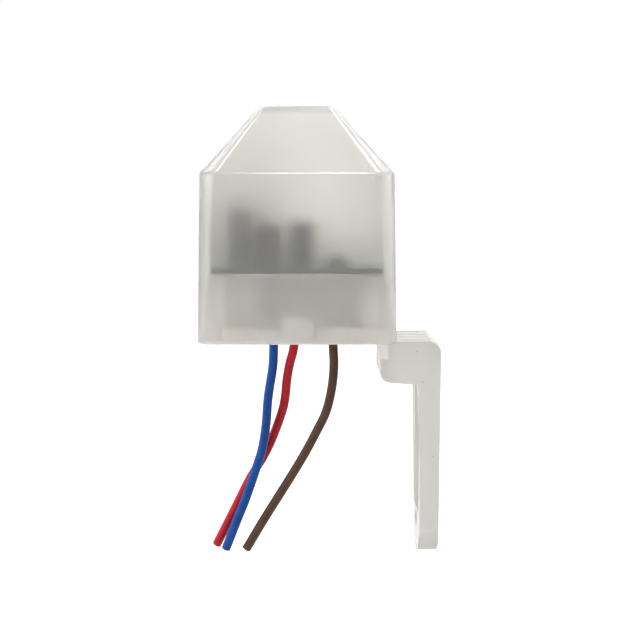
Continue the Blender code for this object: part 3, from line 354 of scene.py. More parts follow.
def leadTube(name, route, s):
    # outer skin along the route, then a rounded lip and a short bore at the cut end
    radius, sides = s["diameter"] / 2, s["sides"]
    directions = []
    for i in range(len(route)):
        directions.append((route[min(i + 1, len(route) - 1)] - route[max(i - 1, 0)]).normalized())
    side = directions[0].cross(Vector((0, 1, 0))).normalized()
    shape = bmesh.new()
    uvLayer = shape.loops.layers.uv.new("alongLead")
    stations, run = [], 0.0
    for i, (point, ahead) in enumerate(zip(route, directions)):
        side = (side - ahead * side.dot(ahead)).normalized()
        run += (point - route[i - 1]).length if i else 0.0
        stations.append((point, ahead, side, radius, run))
    endPoint, ahead, side, _, run = stations.pop()
    lip, bore = s["lip"], s["bore"]
    cutEnd = ((lip, radius), (lip * 0.3, radius - lip * 0.3), (0, radius - lip), (0, bore + lip / 2),
              (lip / 2, bore), (s["boreDepth"], bore))
    for back, size in cutEnd:
        stations.append((endPoint - ahead * back, ahead, side, size, run))
    rings, runs = [], []
    for point, ahead, side, size, length in stations:
        other = ahead.cross(side)
        ring = []
        for k in range(sides):
            angle = 2 * math.pi * k / sides
            ring.append(shape.verts.new(point + (side * math.cos(angle) + other * math.sin(angle)) * size))
        rings.append(ring)
        runs.append(length)
    for n in range(len(rings) - 1):
        for k in range(sides):
            m = (k + 1) % sides
            face = shape.faces.new((rings[n][k], rings[n][m], rings[n + 1][m], rings[n + 1][k]))
            corners = ((k, n), (k + 1, n), (k + 1, n + 1), (k, n + 1))
            for loop, (across, along) in zip(face.loops, corners):
                loop[uvLayer].uv = (across / sides, runs[along] / s["uvLength"])
    shape.faces.new(reversed(rings[0]))
    shape.faces.new(rings[-1])
    return meshOf(name, shape, s["sharpAngle"])


def strandBundleTree(s):
    # round bundle of short strands laid out in a sunflower pattern
    tree = bpy.data.node_groups.new("strandBundle", "GeometryNodeTree")
    face = tree.interface
    face.new_socket(name="Geometry", in_out="INPUT", socket_type="NodeSocketGeometry")
    for label, kind in (("Strand count", "NodeSocketInt"), ("Bundle radius", "NodeSocketFloat"),
                        ("Strand radius", "NodeSocketFloat"), ("Strand length", "NodeSocketFloat"),
                        ("Strand finish", "NodeSocketMaterial")):
        face.new_socket(name=label, in_out="INPUT", socket_type=kind)
    face.new_socket(name="Geometry", in_out="OUTPUT", socket_type="NodeSocketGeometry")
    inputs = addNode(tree, "NodeGroupInput")
    outputs = addNode(tree, "NodeGroupOutput")
    points = addNode(tree, "GeometryNodePoints")
    index = addNode(tree, "GeometryNodeInputIndex")
    link = tree.links.new
    centred = mathOf(tree, "ADD", index.outputs[0], 0.5)
    share = mathOf(tree, "DIVIDE", centred, inputs.outputs["Strand count"])
    reach = mathOf(tree, "MULTIPLY", mathOf(tree, "SQRT", share), inputs.outputs["Bundle radius"])
    angle = mathOf(tree, "MULTIPLY", index.outputs[0], s["goldenTurn"])
    place = addNode(tree, "ShaderNodeCombineXYZ")
    link(mathOf(tree, "MULTIPLY", mathOf(tree, "COSINE", angle), reach), place.inputs["X"])
    link(mathOf(tree, "MULTIPLY", mathOf(tree, "SINE", angle), reach), place.inputs["Y"])
    link(inputs.outputs["Strand count"], points.inputs["Count"])
    link(place.outputs["Vector"], points.inputs["Position"])
    strand = addNode(tree, "GeometryNodeMeshCylinder")
    strand.inputs["Vertices"].default_value = s["strandSides"]
    link(inputs.outputs["Strand radius"], strand.inputs["Radius"])
    link(inputs.outputs["Strand length"], strand.inputs["Depth"])
    copies = addNode(tree, "GeometryNodeInstanceOnPoints")
    link(points.outputs["Points"], copies.inputs["Points"])
    link(strand.outputs["Mesh"], copies.inputs["Instance"])
    lengthWobble = addNode(tree, "FunctionNodeRandomValue", data_type="FLOAT")
    lengthWobble.inputs["Seed"].default_value = 4
    lengthWobble.inputs[2].default_value = s["strandShortest"]
    lengthWobble.inputs[3].default_value = 1.0
    scale = addNode(tree, "ShaderNodeCombineXYZ")
    scale.inputs["X"].default_value = scale.inputs["Y"].default_value = 1.0
    link(lengthWobble.outputs[1], scale.inputs["Z"])
    link(scale.outputs["Vector"], copies.inputs["Scale"])
    real = addNode(tree, "GeometryNodeRealizeInstances")
    paint = addNode(tree, "GeometryNodeSetMaterial")
    link(copies.outputs["Instances"], real.inputs["Geometry"])
    link(real.outputs["Geometry"], paint.inputs["Geometry"])
    link(inputs.outputs["Strand finish"], paint.inputs["Material"])
    link(paint.outputs["Geometry"], outputs.inputs["Geometry"])
    return tree


def fromTree(name, tree, values):
    # runs a node tree with named inputs and keeps its result as plain mesh
    piece = asPiece(name, bpy.data.meshes.new(name))
    grower = piece.modifiers.new("nodes", "NODES")
    grower.node_group = tree
    for item in tree.interface.items_tree:
        if item.item_type == "SOCKET" and item.in_out == "INPUT" and item.name in values:
            grower[item.identifier] = values[item.name]
    return settle(piece)


def makeLeads(s):
    copper = copperStrands(s["copper"])
    bundle = strandBundleTree(s)
    for name, route in s["routes"].items():
        first = route[0]
        knots = [(first[0], first[1], s["topLevel"]), (first[0], first[1], s["midLevel"]), *route]
        line = smoothRoute([fromRim(*knot) for knot in knots], s["pointSpacing"], s["curveSteps"])
        vinyl = leadVinyl(f"{name}Vinyl", s["colours"][name], s["vinyl"])
        tube = asPiece(f"{name}Lead", leadTube(f"{name}Lead", line, s), vinyl)
        strands = fromTree(f"{name}Strands", bundle, {
            "Strand count": s["strands"],
            "Bundle radius": s["bore"] - s["strandRadius"],
            "Strand radius": s["strandRadius"],
            "Strand length": s["boreDepth"] + s["strandProud"],
            "Strand finish": copper,
        })
        down = (line[-1] - line[-2]).normalized()
        middle = line[-1] - down * (s["boreDepth"] - s["strandProud"]) / 2
        turned = down.to_track_quat("Z", "Y").to_matrix().to_4x4()
        strands.data.transform(Matrix.Translation(middle) @ turned)
        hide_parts(f"{name}_lead")
        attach(tube, "root")
        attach(strands, "root")


makeLeads(leads)
print("leads routed")


# cap: drafted walls, a pyramid top whose ridges taper, a shell with snap pockets inside
cap = {
    "rimWidth": 0.0505,
    "shoulderWidth": 0.0495,
    "topWidth": 0.0192,
    "shoulderHeight": 0.0433,
    "pyramidRise": 0.0168,
    "wall": 0.0021,
    "rimCorner": 0.0018,
    "shoulderCorner": 0.0050,
    "topCorner": 0.0016,
    "shoulderRound": 0.0016,
    "topRound": 0.0009,
    "rimRound": 0.0010,
    "arcSteps": 12,
    "outerSteps": 8,
    "innerSteps": 4,
    "sharpAngle": 60,
    "pocketHalf": 0.0043,
    "pocketLow": 0.0031,
    "pocketHigh": 0.0067,
    "pocketStart": 0.02085,
    "pocketEnd": 0.023708,
    "blurOutside": (0.16, 0.22),
    "blurInside": (0.51, 0.57),
    "through": 0.94,
    "refraction": 1.42,
    "scatterDepth": 0.0022,
    "scatterTint": (1.0, 0.95, 0.88),
    "coat": {"Coat Weight": 0.85, "Coat Roughness": 0.09, "Coat IOR": 1.5},
    # shares of the height from rim to top, each with what is added to the blur there
    "frostSpan": (0.0331, 0.0931),
    "frost": ((0.00, 0.42), (0.10, 0.45), (0.24, 0.42), (0.275, 0.38), (0.295, 0.20), (0.70, 0.20)),
    # painted light and shade over the height: the walls paler towards the rim, a painted shadow just under
    # the board, the pyramid painted lighter towards its top as if lit from above
    "paintedShade": ((0.00, 0.965), (0.10, 0.965), (0.20, 0.925), (0.27, 0.86), (0.31, 0.90), (0.80, 0.91),
              (0.96, 0.98), (1.00, 1.07)),
    "tones": ((0.892, 0.875, 0.843), (0.916, 0.902, 0.874)),
    "cloudScale": 95,
    "cloudDepth": 0.00003,
    "hazeScale": 900,
    "pittingScale": 4200,
    "pittingDepth": 0.000002,
}


def milkyPlastic(name, blur, s):
    # milky plastic that light goes through, glossy outside and frosted on the inner wall
    finish, tree, shader = newFinish(name)
    place = objectPlace(tree)
    cloud = speckle(tree, place, s["cloudScale"], 3.0)
    haze = speckle(tree, place, s["hazeScale"], 4.0, 0.6)
    pitting = speckle(tree, place, s["pittingScale"], 2.0)
    tone = ramp(tree, cloud, [(0.3, s["tones"][0]), (0.7, s["tones"][1])])
    height = spanOf(tree, partsOf(tree, place)[2], *s["frostSpan"], 0.0, 1.0)
    frost = ramp(tree, height, greys(s["frost"]))
    # painted light and shade: the tone is multiplied by this ramp over the height
    paintedShade = ramp(tree, height, greys(s["paintedShade"]))
    tree.links.new(mixColours(tree, 1.0, tone, paintedShade, "MULTIPLY"), shader.inputs["Base Color"])
    blurred = mathOf(tree, "ADD", spanOf(tree, haze, 0.3, 0.7, *blur), frost)
    tree.links.new(blurred, shader.inputs["Roughness"])
    shader.inputs["Transmission Weight"].default_value = s["through"]
    shader.inputs["IOR"].default_value = s["refraction"]
    shader.inputs["Subsurface Weight"].default_value = 1.0
    shader.inputs["Subsurface Radius"].default_value = s["scatterTint"]
    shader.inputs["Subsurface Scale"].default_value = s["scatterDepth"]
    for key, value in s["coat"].items():
        shader.inputs[key].default_value = value
    bumpFrom(tree, shader, [(cloud, s["cloudDepth"]), (pitting, s["pittingDepth"])])
    return finish


def roundedSquare(half, corner, level, steps):
    corner = min(corner, half * 0.95)
    loop = []
    for quarter in range(4):
        middle = math.pi / 4 + quarter * math.pi / 2
        x = math.copysign(half - corner, math.cos(middle))
        y = math.copysign(half - corner, math.sin(middle))
        for step in range(steps + 1):
            angle = (quarter + step / steps) * math.pi / 2
            loop.append(Vector((x + corner * math.cos(angle), y + corner * math.sin(angle), level)))
    return loop


def roundedPath(corners, steps):
    # each inner corner (across, up, radius) of an open path becomes an arc
    path = [Vector(corners[0][:2])]
    for before, corner, after in zip(corners, corners[1:], corners[2:]):
        apex, radius = Vector(corner[:2]), corner[2]
        if radius == 0:
            path.append(apex)
            continue
        back = (Vector(before[:2]) - apex).normalized()
        ahead = (Vector(after[:2]) - apex).normalized()
        half = back.angle(ahead) / 2
        centre = apex + (back + ahead).normalized() * radius / math.sin(half)
        start = apex + back * radius / math.tan(half) - centre
        end = apex + ahead * radius / math.tan(half) - centre
        turn = math.atan2(start.x * end.y - start.y * end.x, start.dot(end))
        for step in range(steps + 1):
            path.append(centre + Matrix.Rotation(turn * step / steps, 2) @ start)
    path.append(Vector(corners[-1][:2]))
    return path


def wallInside(before, corner, after, distance):
    # the corner moved inwards by the wall's thickness
    first = (Vector(corner) - Vector(before)).normalized()
    second = (Vector(after) - Vector(corner)).normalized()
    firstNormal, secondNormal = Vector((-first.y, first.x)), Vector((-second.y, second.x))
    return Vector(corner) + (firstNormal + secondNormal) * distance / (1 + firstNormal.dot(secondNormal))


def makeCap(s):
    height = s["shoulderHeight"] + s["pyramidRise"]
    rim = (s["rimWidth"] / 2, 0.0)
    shoulder = (s["shoulderWidth"] / 2, s["shoulderHeight"])
    top = (s["topWidth"] / 2, height)
    innerShoulder = wallInside(rim, shoulder, top, s["wall"])
    innerTop = wallInside(shoulder, top, (0.0, height), s["wall"])

    def cornerAt(level):
        if level < s["shoulderHeight"]:
            share, low, high = max(level / s["shoulderHeight"], 0), s["rimCorner"], s["shoulderCorner"]
        else:
            share = min((level - s["shoulderHeight"]) / s["pyramidRise"], 1.0)
            low, high = s["shoulderCorner"], s["topCorner"]
        return low + (high - low) * share

    rimInside = (rim[0] - s["wall"], 0.0)
    outside = roundedPath([rimInside, (*rim, s["rimRound"]), (*shoulder, s["shoulderRound"]),
                           (*top, s["topRound"]), (top[0] / 3, height)], s["outerSteps"])
    inside = roundedPath([(innerTop[0] / 2, innerTop[1]), (*innerTop, s["topRound"] / 2),
                          (*innerShoulder, s["shoulderRound"] / 2), rimInside], s["innerSteps"])
    loops = []
    for half, level in inside:
        corner = max(cornerAt(level) - s["wall"], s["topCorner"] / 2)
        loops.append(roundedSquare(half, corner, level, s["arcSteps"]))
    for half, level in outside[1:]:
        loops.append(roundedSquare(half, cornerAt(level), level, s["arcSteps"]))
    shape = skin(loops)
    shape.faces.ensure_lookup_table()
    # the inner skin: its sides come first, and its closed top is the last face but one
    innerFaces = (len(inside) - 1) * len(loops[0])
    for face in [*shape.faces[:innerFaces], shape.faces[-2]]:
        face.material_index = 1
    shell = asPiece("milkyCap", meshOf("milkyCap", shape, s["sharpAngle"]))
    shell.data.materials.append(milkyPlastic("milkyPlasticOutside", s["blurOutside"], s))
    shell.data.materials.append(milkyPlastic("milkyPlasticInside", s["blurInside"], s))
    pockets = []
    for side in range(4):
        pocket = block((s["pocketStart"], -s["pocketHalf"], s["pocketLow"]),
                       (s["pocketEnd"], s["pocketHalf"], s["pocketHigh"]))
        bmesh.ops.rotate(pocket, cent=(0, 0, 0), matrix=Matrix.Rotation(side * math.pi / 2, 3, "Z"),
                         verts=pocket.verts)
        pockets.append(pocket)
    cutAway(shell, pockets)
    shell.data.transform(Matrix.Translation(fromRim(0, 0, 0)))
    shell.data.shade_smooth()
    shell.data.set_sharp_from_angle(angle=math.radians(s["sharpAngle"]))
    evenShading(shell)
    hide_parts("cap")
    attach(shell, "root")


makeCap(cap)
print("cap moulded")


# base and bracket: the moulded forms with their edges softened
mouldings = {
    "base": {"node": "base", "piece": "baseTray", "slot": "base_plastic", "edge": 0.00012,
             "tone": (0.89, 0.88, 0.855), "gloss": (0.34, 0.46), "through": 0.40},
    "bracket": {"node": "mounting_bracket", "piece": "wallBracket", "slot": "bracket_plastic",
                "edge": 0.00016, "tone": (0.72, 0.706, 0.668), "gloss": (0.46, 0.60), "through": 0.0,
                # the heights over which the bracket's foot gets painted shade
                "stain": (-0.0290, -0.0268)},
}
satin = {
    "shine": 0.3,
    "flowScale": 120,
    "flowDepth": 0.00002,
    "sparkScale": 3600,
    "sparkDepth": 0.000005,
    "speckScale": 230,
    "speckSize": (0.030, 0.050),
    "speckTint": (0.62, 0.52, 0.42),
    # size of the patches and colour of the painted shade on the bracket's foot
    "stainScale": 330,
    "stainTone": (0.40, 0.31, 0.24),
}
# the distance in metres, the angles in degrees
rounding = {"mergeWithin": 0.000004, "flatWithin": 1.0, "roundAbove": 38, "sharpAbove": 55}


def mouldedPlastic(name, s):
    # satin white with flow clouding, fine spark texture, tiny dark specks and on the bracket painted shade
    # that darkens its foot in patches towards the bottom
    finish, tree, shader = newFinish(name)
    tone = s["tone"]
    place = objectPlace(tree)
    flow = speckle(tree, objectPlace(tree, (1, 1, 0.35)), satin["flowScale"], 3.0)
    spark = speckle(tree, place, satin["sparkScale"], 3.0, 0.65)
    dust = addNode(tree, "ShaderNodeTexVoronoi", feature="F1")
    dust.inputs["Scale"].default_value = satin["speckScale"]
    tree.links.new(place, dust.inputs["Vector"])
    specks = spanOf(tree, dust.outputs["Distance"], *satin["speckSize"], 1.0, 0.0)
    body = ramp(tree, flow, [(0.3, shadeOf(tone, 0.965)), (0.7, tone)])
    speckTone = tuple(channel * tint for channel, tint in zip(tone, satin["speckTint"]))
    tinted = mixColours(tree, specks, body, speckTone)
    # painted shade: the foot's bottom darkened towards brown in patches
    if "stain" in s:
        patches = spanOf(tree, speckle(tree, place, satin["stainScale"], 3.0), 0.30, 0.62, 0.35, 1.0)
        lowDown = spanOf(tree, partsOf(tree, place)[2], *s["stain"], 0.75, 0.0)
        tinted = mixColours(tree, mathOf(tree, "MULTIPLY", lowDown, patches), tinted, satin["stainTone"])
    tree.links.new(tinted, shader.inputs["Base Color"])
    tree.links.new(spanOf(tree, spark, 0.3, 0.7, *s["gloss"]), shader.inputs["Roughness"])
    shader.inputs["Specular IOR Level"].default_value = satin["shine"]
    shader.inputs["Transmission Weight"].default_value = s["through"]
    bumpFrom(tree, shader, [(flow, satin["flowDepth"]), (spark, satin["sparkDepth"])])
    return finish


def softened(s):
    # a copy of the solid's mesh, merged, its flats joined and its sharp edges rounded
    shape = bmesh.new()
    shape.from_mesh(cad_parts[s["node"]].data)
    bmesh.ops.remove_doubles(shape, verts=shape.verts, dist=rounding["mergeWithin"])
    bmesh.ops.dissolve_limit(shape, angle_limit=math.radians(rounding["flatWithin"]), verts=shape.verts,
                             edges=shape.edges)
    mesh = bpy.data.meshes.new(s["piece"])
    shape.to_mesh(mesh)
    shape.free()
    mesh.shade_smooth()
    piece = asPiece(s["piece"], mesh, mouldedPlastic(f"{s['piece']}Plastic", s))
    soften = piece.modifiers.new("soften", "BEVEL")
    soften.width = s["edge"]
    soften.segments = 2
    soften.limit_method = "ANGLE"
    soften.angle_limit = math.radians(rounding["roundAbove"])
    soften.harden_normals = False
    soften.use_clamp_overlap = True
    settle(piece)
    piece.data.shade_smooth()
    piece.data.set_sharp_from_angle(angle=math.radians(rounding["sharpAbove"]))
    evenShading(piece)
    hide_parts(s["node"])
    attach(piece, "root")


for settings in mouldings.values():
    softened(settings)
print("base and bracket moulded")


# board parts keep their solids and get the finish of the real ones
board = {
    "underside": 0.050925,
    "top": 0.052525,
    "sawnMargin": 0.00004,
    "pinsBelow": 0.052805,
    "mask": (0.014, 0.066, 0.050),
    "overCopper": (0.024, 0.105, 0.076),
    "edge": (0.070, 0.080, 0.040),
    "pourScale": 190,
    "pourUneven": 0.75,
    "pourGap": (0.045, 0.065),
    "pourDepth": 0.00003,
    "tin": (0.60, 0.60, 0.58),
    "tinSmoother": 0.08,
    "seamWidth": 0.00012,
    "seamDepth": 0.00005,
    "waveDepth": 0.00012,
}


def within(tree, value, low, high):
    # 1 where the value lies between the two limits
    above, below = mathOf(tree, "GREATER_THAN", value, low), mathOf(tree, "LESS_THAN", value, high)
    return mathOf(tree, "MULTIPLY", above, below)


def farFrom(tree, value, centre, reach):
    # 1 where the value is farther from the centre than the reach
    away = mathOf(tree, "ABSOLUTE", mathOf(tree, "SUBTRACT", value, centre))
    return mathOf(tree, "GREATER_THAN", away, reach)


def nearTo(tree, value, centre, reach):
    # 1 where the value is nearer to the centre than the reach
    away = mathOf(tree, "ABSOLUTE", mathOf(tree, "SUBTRACT", value, centre))
    return mathOf(tree, "LESS_THAN", away, reach)


def spreadFrom(tree, x, y, centre):
    # distance from an upright axis
    across = mathOf(tree, "POWER", mathOf(tree, "SUBTRACT", x, centre[0]), 2.0)
    deep = mathOf(tree, "POWER", mathOf(tree, "SUBTRACT", y, centre[1]), 2.0)
    return mathOf(tree, "SQRT", mathOf(tree, "ADD", across, deep))


def boardPart(name, s, paint):
    # body finish from its own paint, tinned pins and solder where the part leaves its body
    finish, tree, shader = newFinish(f"{name}Finish")
    place = objectPlace(tree)
    x, y, z = partsOf(tree, place)
    grain = speckle(tree, place, s.get("grain", 2400), 3.0, 0.6)
    colour, metal, heights = paint(tree, place, (x, y, z), s)
    rough = spanOf(tree, grain, 0.3, 0.7, *s["gloss"])
    if "bodyHalf" in s:
        pins = farFrom(tree, x, s["centre"][0], s["bodyHalf"])
    else:
        pins = mathOf(tree, "LESS_THAN", z, s["pinsBelow"])
    dull = speckle(tree, place, 1500, 3.0)
    tin = ramp(tree, dull, [(0.3, shadeOf(board["tin"], 0.72)), (0.7, board["tin"])])
    tree.links.new(mixColours(tree, pins, colour, tin), shader.inputs["Base Color"])
    tree.links.new(mathOf(tree, "MAXIMUM", pins, metal), shader.inputs["Metallic"])
    smoother = mathOf(tree, "MULTIPLY", pins, -board["tinSmoother"])
    tree.links.new(mathOf(tree, "ADD", rough, smoother), shader.inputs["Roughness"])
    shader.inputs["Specular IOR Level"].default_value = s.get("shine", 0.4)
    shader.inputs["Coat Weight"].default_value = s.get("coat", 0.0)
    shader.inputs["Coat Roughness"].default_value = 0.06
    bumpFrom(tree, shader, [(grain, s.get("grainDepth", 0.000006)), *heights])
    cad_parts[name].material_slots[0].material = finish


def paintBoard(tree, place, at, s):
    # green mask over a copper pour whose gaps show, bare fibre at the sawn edges
    pour = addNode(tree, "ShaderNodeTexVoronoi", feature="DISTANCE_TO_EDGE")
    pour.inputs["Scale"].default_value = board["pourScale"]
    pour.inputs["Randomness"].default_value = board["pourUneven"]
    tree.links.new(place, pour.inputs["Vector"])
    copper = spanOf(tree, pour.outputs["Distance"], *board["pourGap"], 0.0, 1.0)
    weave = speckle(tree, objectPlace(tree, (1, 4, 1)), 1300, 2.0)
    face = mixColours(tree, copper, board["mask"], board["overCopper"])
    margin = board["sawnMargin"]
    sawn = within(tree, at[2], board["underside"] + margin, board["top"] - margin)
    fibre = ramp(tree, weave, [(0.3, shadeOf(board["edge"], 0.6)), (0.7, board["edge"])])
    return mixColours(tree, sawn, face, fibre), 0.0, [(copper, board["pourDepth"]), (weave, 0.000006)]


def paintMoulded(tree, place, at, s):
    # moulded case with a parting line round it
    cloud = speckle(tree, place, 300, 3.0)
    tone = ramp(tree, cloud, [(0.3, shadeOf(s["tone"], 0.8)), (0.7, s["tone"])])
    line = within(tree, at[2], s["seam"], s["seam"] + board["seamWidth"])
    return mixColours(tree, line, tone, shadeOf(s["tone"], 0.4)), 0.0, [(line, -board["seamDepth"])]


def paintDipped(tree, place, at, s):
    # dipped coating, thicker and darker towards its foot, with slow waves
    wave = speckle(tree, place, s["waves"], 2.0)
    run = spanOf(tree, at[2], s["foot"], s["foot"] + s["runHeight"], 0.65, 1.0)
    tone = ramp(tree, wave, [(0.3, shadeOf(s["tone"], 0.75)), (0.7, s["tone"])])
    return mixColours(tree, run, shadeOf(s["tone"], 0.6), tone), 0.0, [(wave, board["waveDepth"])]


def paintCan(tree, place, at, s):
    # shrink sleeve with one pale stripe, scored aluminium in the top
    x, y, z = at
    centre = s["centre"]
    inside = mathOf(tree, "LESS_THAN", spreadFrom(tree, x, y, centre), s["topRadius"])
    bare = mathOf(tree, "MULTIPLY", inside, mathOf(tree, "GREATER_THAN", z, s["topLevel"]))
    stripe = mathOf(tree, "GREATER_THAN", mathOf(tree, "SUBTRACT", y, centre[1]), s["stripeFrom"])
    cloud = speckle(tree, place, 240, 2.0)
    sleeve = ramp(tree, cloud, [(0.3, shadeOf(s["tone"], 0.8)), (0.7, s["tone"])])
    banded = mixColours(tree, stripe, sleeve, s["stripeTone"])
    cross = mathOf(tree, "MAXIMUM", nearTo(tree, x, centre[0], s["scoreHalf"]),
                   nearTo(tree, y, centre[1], s["scoreHalf"]))
    score = mathOf(tree, "MULTIPLY", cross, bare)
    lid = mixColours(tree, score, s["lidTone"], s["scoreTone"])
    return mixColours(tree, bare, banded, lid), bare, [(score, -0.00008)]


def paintSensor(tree, place, at, s):
    # pale ceramic disc, on its face a zigzag of brown track between two metal films
    x, y, z = at
    centre = s["centre"]
    fold = mathOf(tree, "PINGPONG", mathOf(tree, "ADD", y, 1.0), s["trackPitch"])
    left, right = centre[0] - s["trackReach"], centre[0] + s["trackReach"]
    turnAt = spanOf(tree, fold, 0.0, s["trackPitch"], left, right)
    inField = mathOf(tree, "LESS_THAN", spreadFrom(tree, x, y, centre), s["fieldRadius"])
    onFace = mathOf(tree, "MULTIPLY", inField, mathOf(tree, "GREATER_THAN", z, s["faceLevel"]))
    track = mathOf(tree, "MULTIPLY", nearTo(tree, x, turnAt, s["trackHalf"]), onFace)
    mottle = speckle(tree, place, 1400, 3.0)
    ceramic = ramp(tree, mottle, [(0.3, shadeOf(s["tone"], 0.88)), (0.7, s["tone"])])
    films = mixColours(tree, onFace, ceramic, s["filmTone"])
    return mixColours(tree, track, films, s["trackTone"]), 0.0, [(track, -0.00002)]


def paintWoven(tree, place, at, s):
    # fine slanted weave of an insulating sleeve
    weaves = []
    for slant in (1, -1):
        wave = addNode(tree, "ShaderNodeTexWave", wave_type="BANDS", bands_direction="DIAGONAL")
        wave.inputs["Scale"].default_value = 700
        wave.inputs["Distortion"].default_value = 0.6
        tree.links.new(objectPlace(tree, (slant, slant, 1)), wave.inputs["Vector"])
        weaves.append(wave.outputs["Fac"])
    both = mathOf(tree, "MULTIPLY", *weaves)
    tone = ramp(tree, both, [(0.0, shadeOf(s["tone"], 0.82)), (0.6, s["tone"])])
    return tone, 0.0, [(both, 0.00004)]


def paintBands(tree, place, at, s):
    # bands of colour round a body that lies along X: (start, end, colour) as shares of its length
    cloud = speckle(tree, place, 700, 3.0)
    middle = s["centre"][0]
    along = spanOf(tree, at[0], middle - s["bodyHalf"], middle + s["bodyHalf"], 0.0, 1.0)
    tone = ramp(tree, cloud, [(0.3, shadeOf(s["tone"], 0.85)), (0.7, s["tone"])])
    heights = []
    for low, high, colour in s["bands"]:
        band = within(tree, along, low, high)
        tone = mixColours(tree, band, tone, colour)
        heights.append((band, 0.00002))
    return tone, 0.0, heights


inks = {"black": (0.012, 0.012, 0.012), "brown": (0.10, 0.035, 0.015), "red": (0.45, 0.02, 0.015),
        "orange": (0.75, 0.20, 0.02), "yellow": (0.75, 0.52, 0.03), "violet": (0.13, 0.04, 0.28),
        "gold": (0.48, 0.33, 0.10), "silver": (0.62, 0.62, 0.60)}


def codeOf(first, second, third, last):
    # the four bands of a resistor
    places = ((0.10, 0.18, first), (0.32, 0.39, second), (0.47, 0.54, third), (0.80, 0.88, last))
    return [(low, high, inks[ink]) for low, high, ink in places]


boardParts = {
    "circuit_board": (paintBoard, {"gloss": (0.38, 0.50), "pinsBelow": 0.0, "coat": 0.2}),
    "relay": (paintMoulded, {"tone": (0.016, 0.016, 0.018), "gloss": (0.50, 0.62), "shine": 0.25,
                             "seam": 0.0541, "pinsBelow": board["pinsBelow"]}),
    "dropper_capacitor": (paintDipped, {"tone": (0.050, 0.016, 0.012), "gloss": (0.30, 0.42), "shine": 0.3,
                                        "waves": 150, "foot": 0.0528, "runHeight": 0.004,
                                        "pinsBelow": board["pinsBelow"]}),
    "smoothing_capacitor": (paintCan, {"tone": (0.052, 0.054, 0.064), "gloss": (0.58, 0.70), "shine": 0.15,
                                       "centre": (-0.0369, -0.0130), "topRadius": 0.00215,
                                       "topLevel": 0.0636, "lidTone": (0.34, 0.34, 0.35),
                                       "scoreHalf": 0.00012, "scoreTone": (0.16, 0.16, 0.17),
                                       "stripeFrom": 0.0024, "stripeTone": (0.42, 0.42, 0.44),
                                       "pinsBelow": board["pinsBelow"]}),
    "ceramic_capacitor": (paintDipped, {"tone": (0.46, 0.20, 0.045), "gloss": (0.30, 0.44), "waves": 420,
                                        "foot": 0.0531, "runHeight": 0.0016, "pinsBelow": 0.05312}),
    "transistor": (paintMoulded, {"tone": (0.022, 0.022, 0.022), "gloss": (0.45, 0.58), "seam": 0.0572,
                                  "pinsBelow": 0.05500}),
    "light_sensor": (paintSensor, {"tone": (0.72, 0.58, 0.46), "gloss": (0.22, 0.32), "coat": 0.6,
                                   "centre": (-0.0461, 0.0060), "faceLevel": 0.07905,
                                   "fieldRadius": 0.00195, "filmTone": (0.66, 0.62, 0.52),
                                   "trackPitch": 0.00042, "trackReach": 0.0015, "trackHalf": 0.00042,
                                   "trackTone": (0.36, 0.10, 0.03), "pinsBelow": 0.07710}),
    "zener_diode": (paintBands, {"tone": (0.42, 0.085, 0.022), "gloss": (0.05, 0.10), "coat": 1.0,
                                 "centre": (-0.0279, -0.0011), "bodyHalf": 0.00188,
                                 "bands": [(0.70, 0.84, inks["black"])]}),
    "discharge_resistor": (paintBands, {"tone": (0.20, 0.32, 0.36), "gloss": (0.28, 0.40), "coat": 0.3,
                                        "centre": (-0.0439, 0.0185), "bodyHalf": 0.00448,
                                        "bands": codeOf("red", "violet", "yellow", "gold")}),
}
for number in range(1, 5):
    boardParts[f"rectifier_diode_{number}"] = (paintBands, {
        "tone": (0.022, 0.022, 0.023), "gloss": (0.42, 0.56), "centre": (-0.0279, 0), "bodyHalf": 0.00258,
        "bands": [(0.74, 0.87, inks["silver"])]})
for place, code in (("series", ("brown", "black", "brown", "gold")),
                    ("sensor", ("yellow", "violet", "orange", "gold")),
                    ("base", ("brown", "black", "orange", "gold"))):
    boardParts[f"{place}_resistor"] = (paintBands, {
        "tone": (0.56, 0.40, 0.22), "gloss": (0.24, 0.36), "coat": 0.4, "centre": (-0.0279, 0),
        "bodyHalf": 0.00312, "bands": codeOf(*code)})
for number in (1, 2):
    boardParts[f"sensor_sleeve_{number}"] = (paintWoven, {"tone": (0.76, 0.74, 0.68), "gloss": (0.55, 0.70),
                                                          "pinsBelow": 0.0})

for node, (paint, settings) in boardParts.items():
    boardPart(node, settings, paint)
print("board parts dressed")


# zinc-plated fasteners: bright steel with fine turning lines round their own axis
fasteners = {
    "axis": (-0.0201, 0.0),
    "zinc": (0.66, 0.67, 0.68),
    "tarnish": (0.50, 0.49, 0.45),
    "ringSpacing": 0.00011,
    "ringDepth": 0.000004,
    "bloomScale": 650,
    "bloomDepth": 0.000008,
    "nodes": {"bracket_screw": (0.24, 0.36), "bracket_nut": (0.30, 0.42)},
}


def platedSteel(node, gloss, s):
    finish, tree, shader = newFinish(f"{node}Plating")
    place = objectPlace(tree)
    x, y, z = partsOf(tree, place)
    rings = mathOf(tree, "PINGPONG", spreadFrom(tree, x, y, s["axis"]), s["ringSpacing"])
    turned = spanOf(tree, rings, 0, s["ringSpacing"], 0, 1)
    bloom = speckle(tree, place, s["bloomScale"], 4.0, 0.6)
    tone = ramp(tree, bloom, [(0.35, s["tarnish"]), (0.55, s["zinc"])])
    tree.links.new(tone, shader.inputs["Base Color"])
    shader.inputs["Metallic"].default_value = 1.0
    tree.links.new(spanOf(tree, bloom, 0.3, 0.7, gloss[1], gloss[0]), shader.inputs["Roughness"])
    bumpFrom(tree, shader, [(turned, s["ringDepth"]), (bloom, s["bloomDepth"])])
    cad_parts[node].material_slots[0].material = finish


for node, gloss in fasteners["nodes"].items():
    platedSteel(node, gloss, fasteners)
print("fasteners plated")


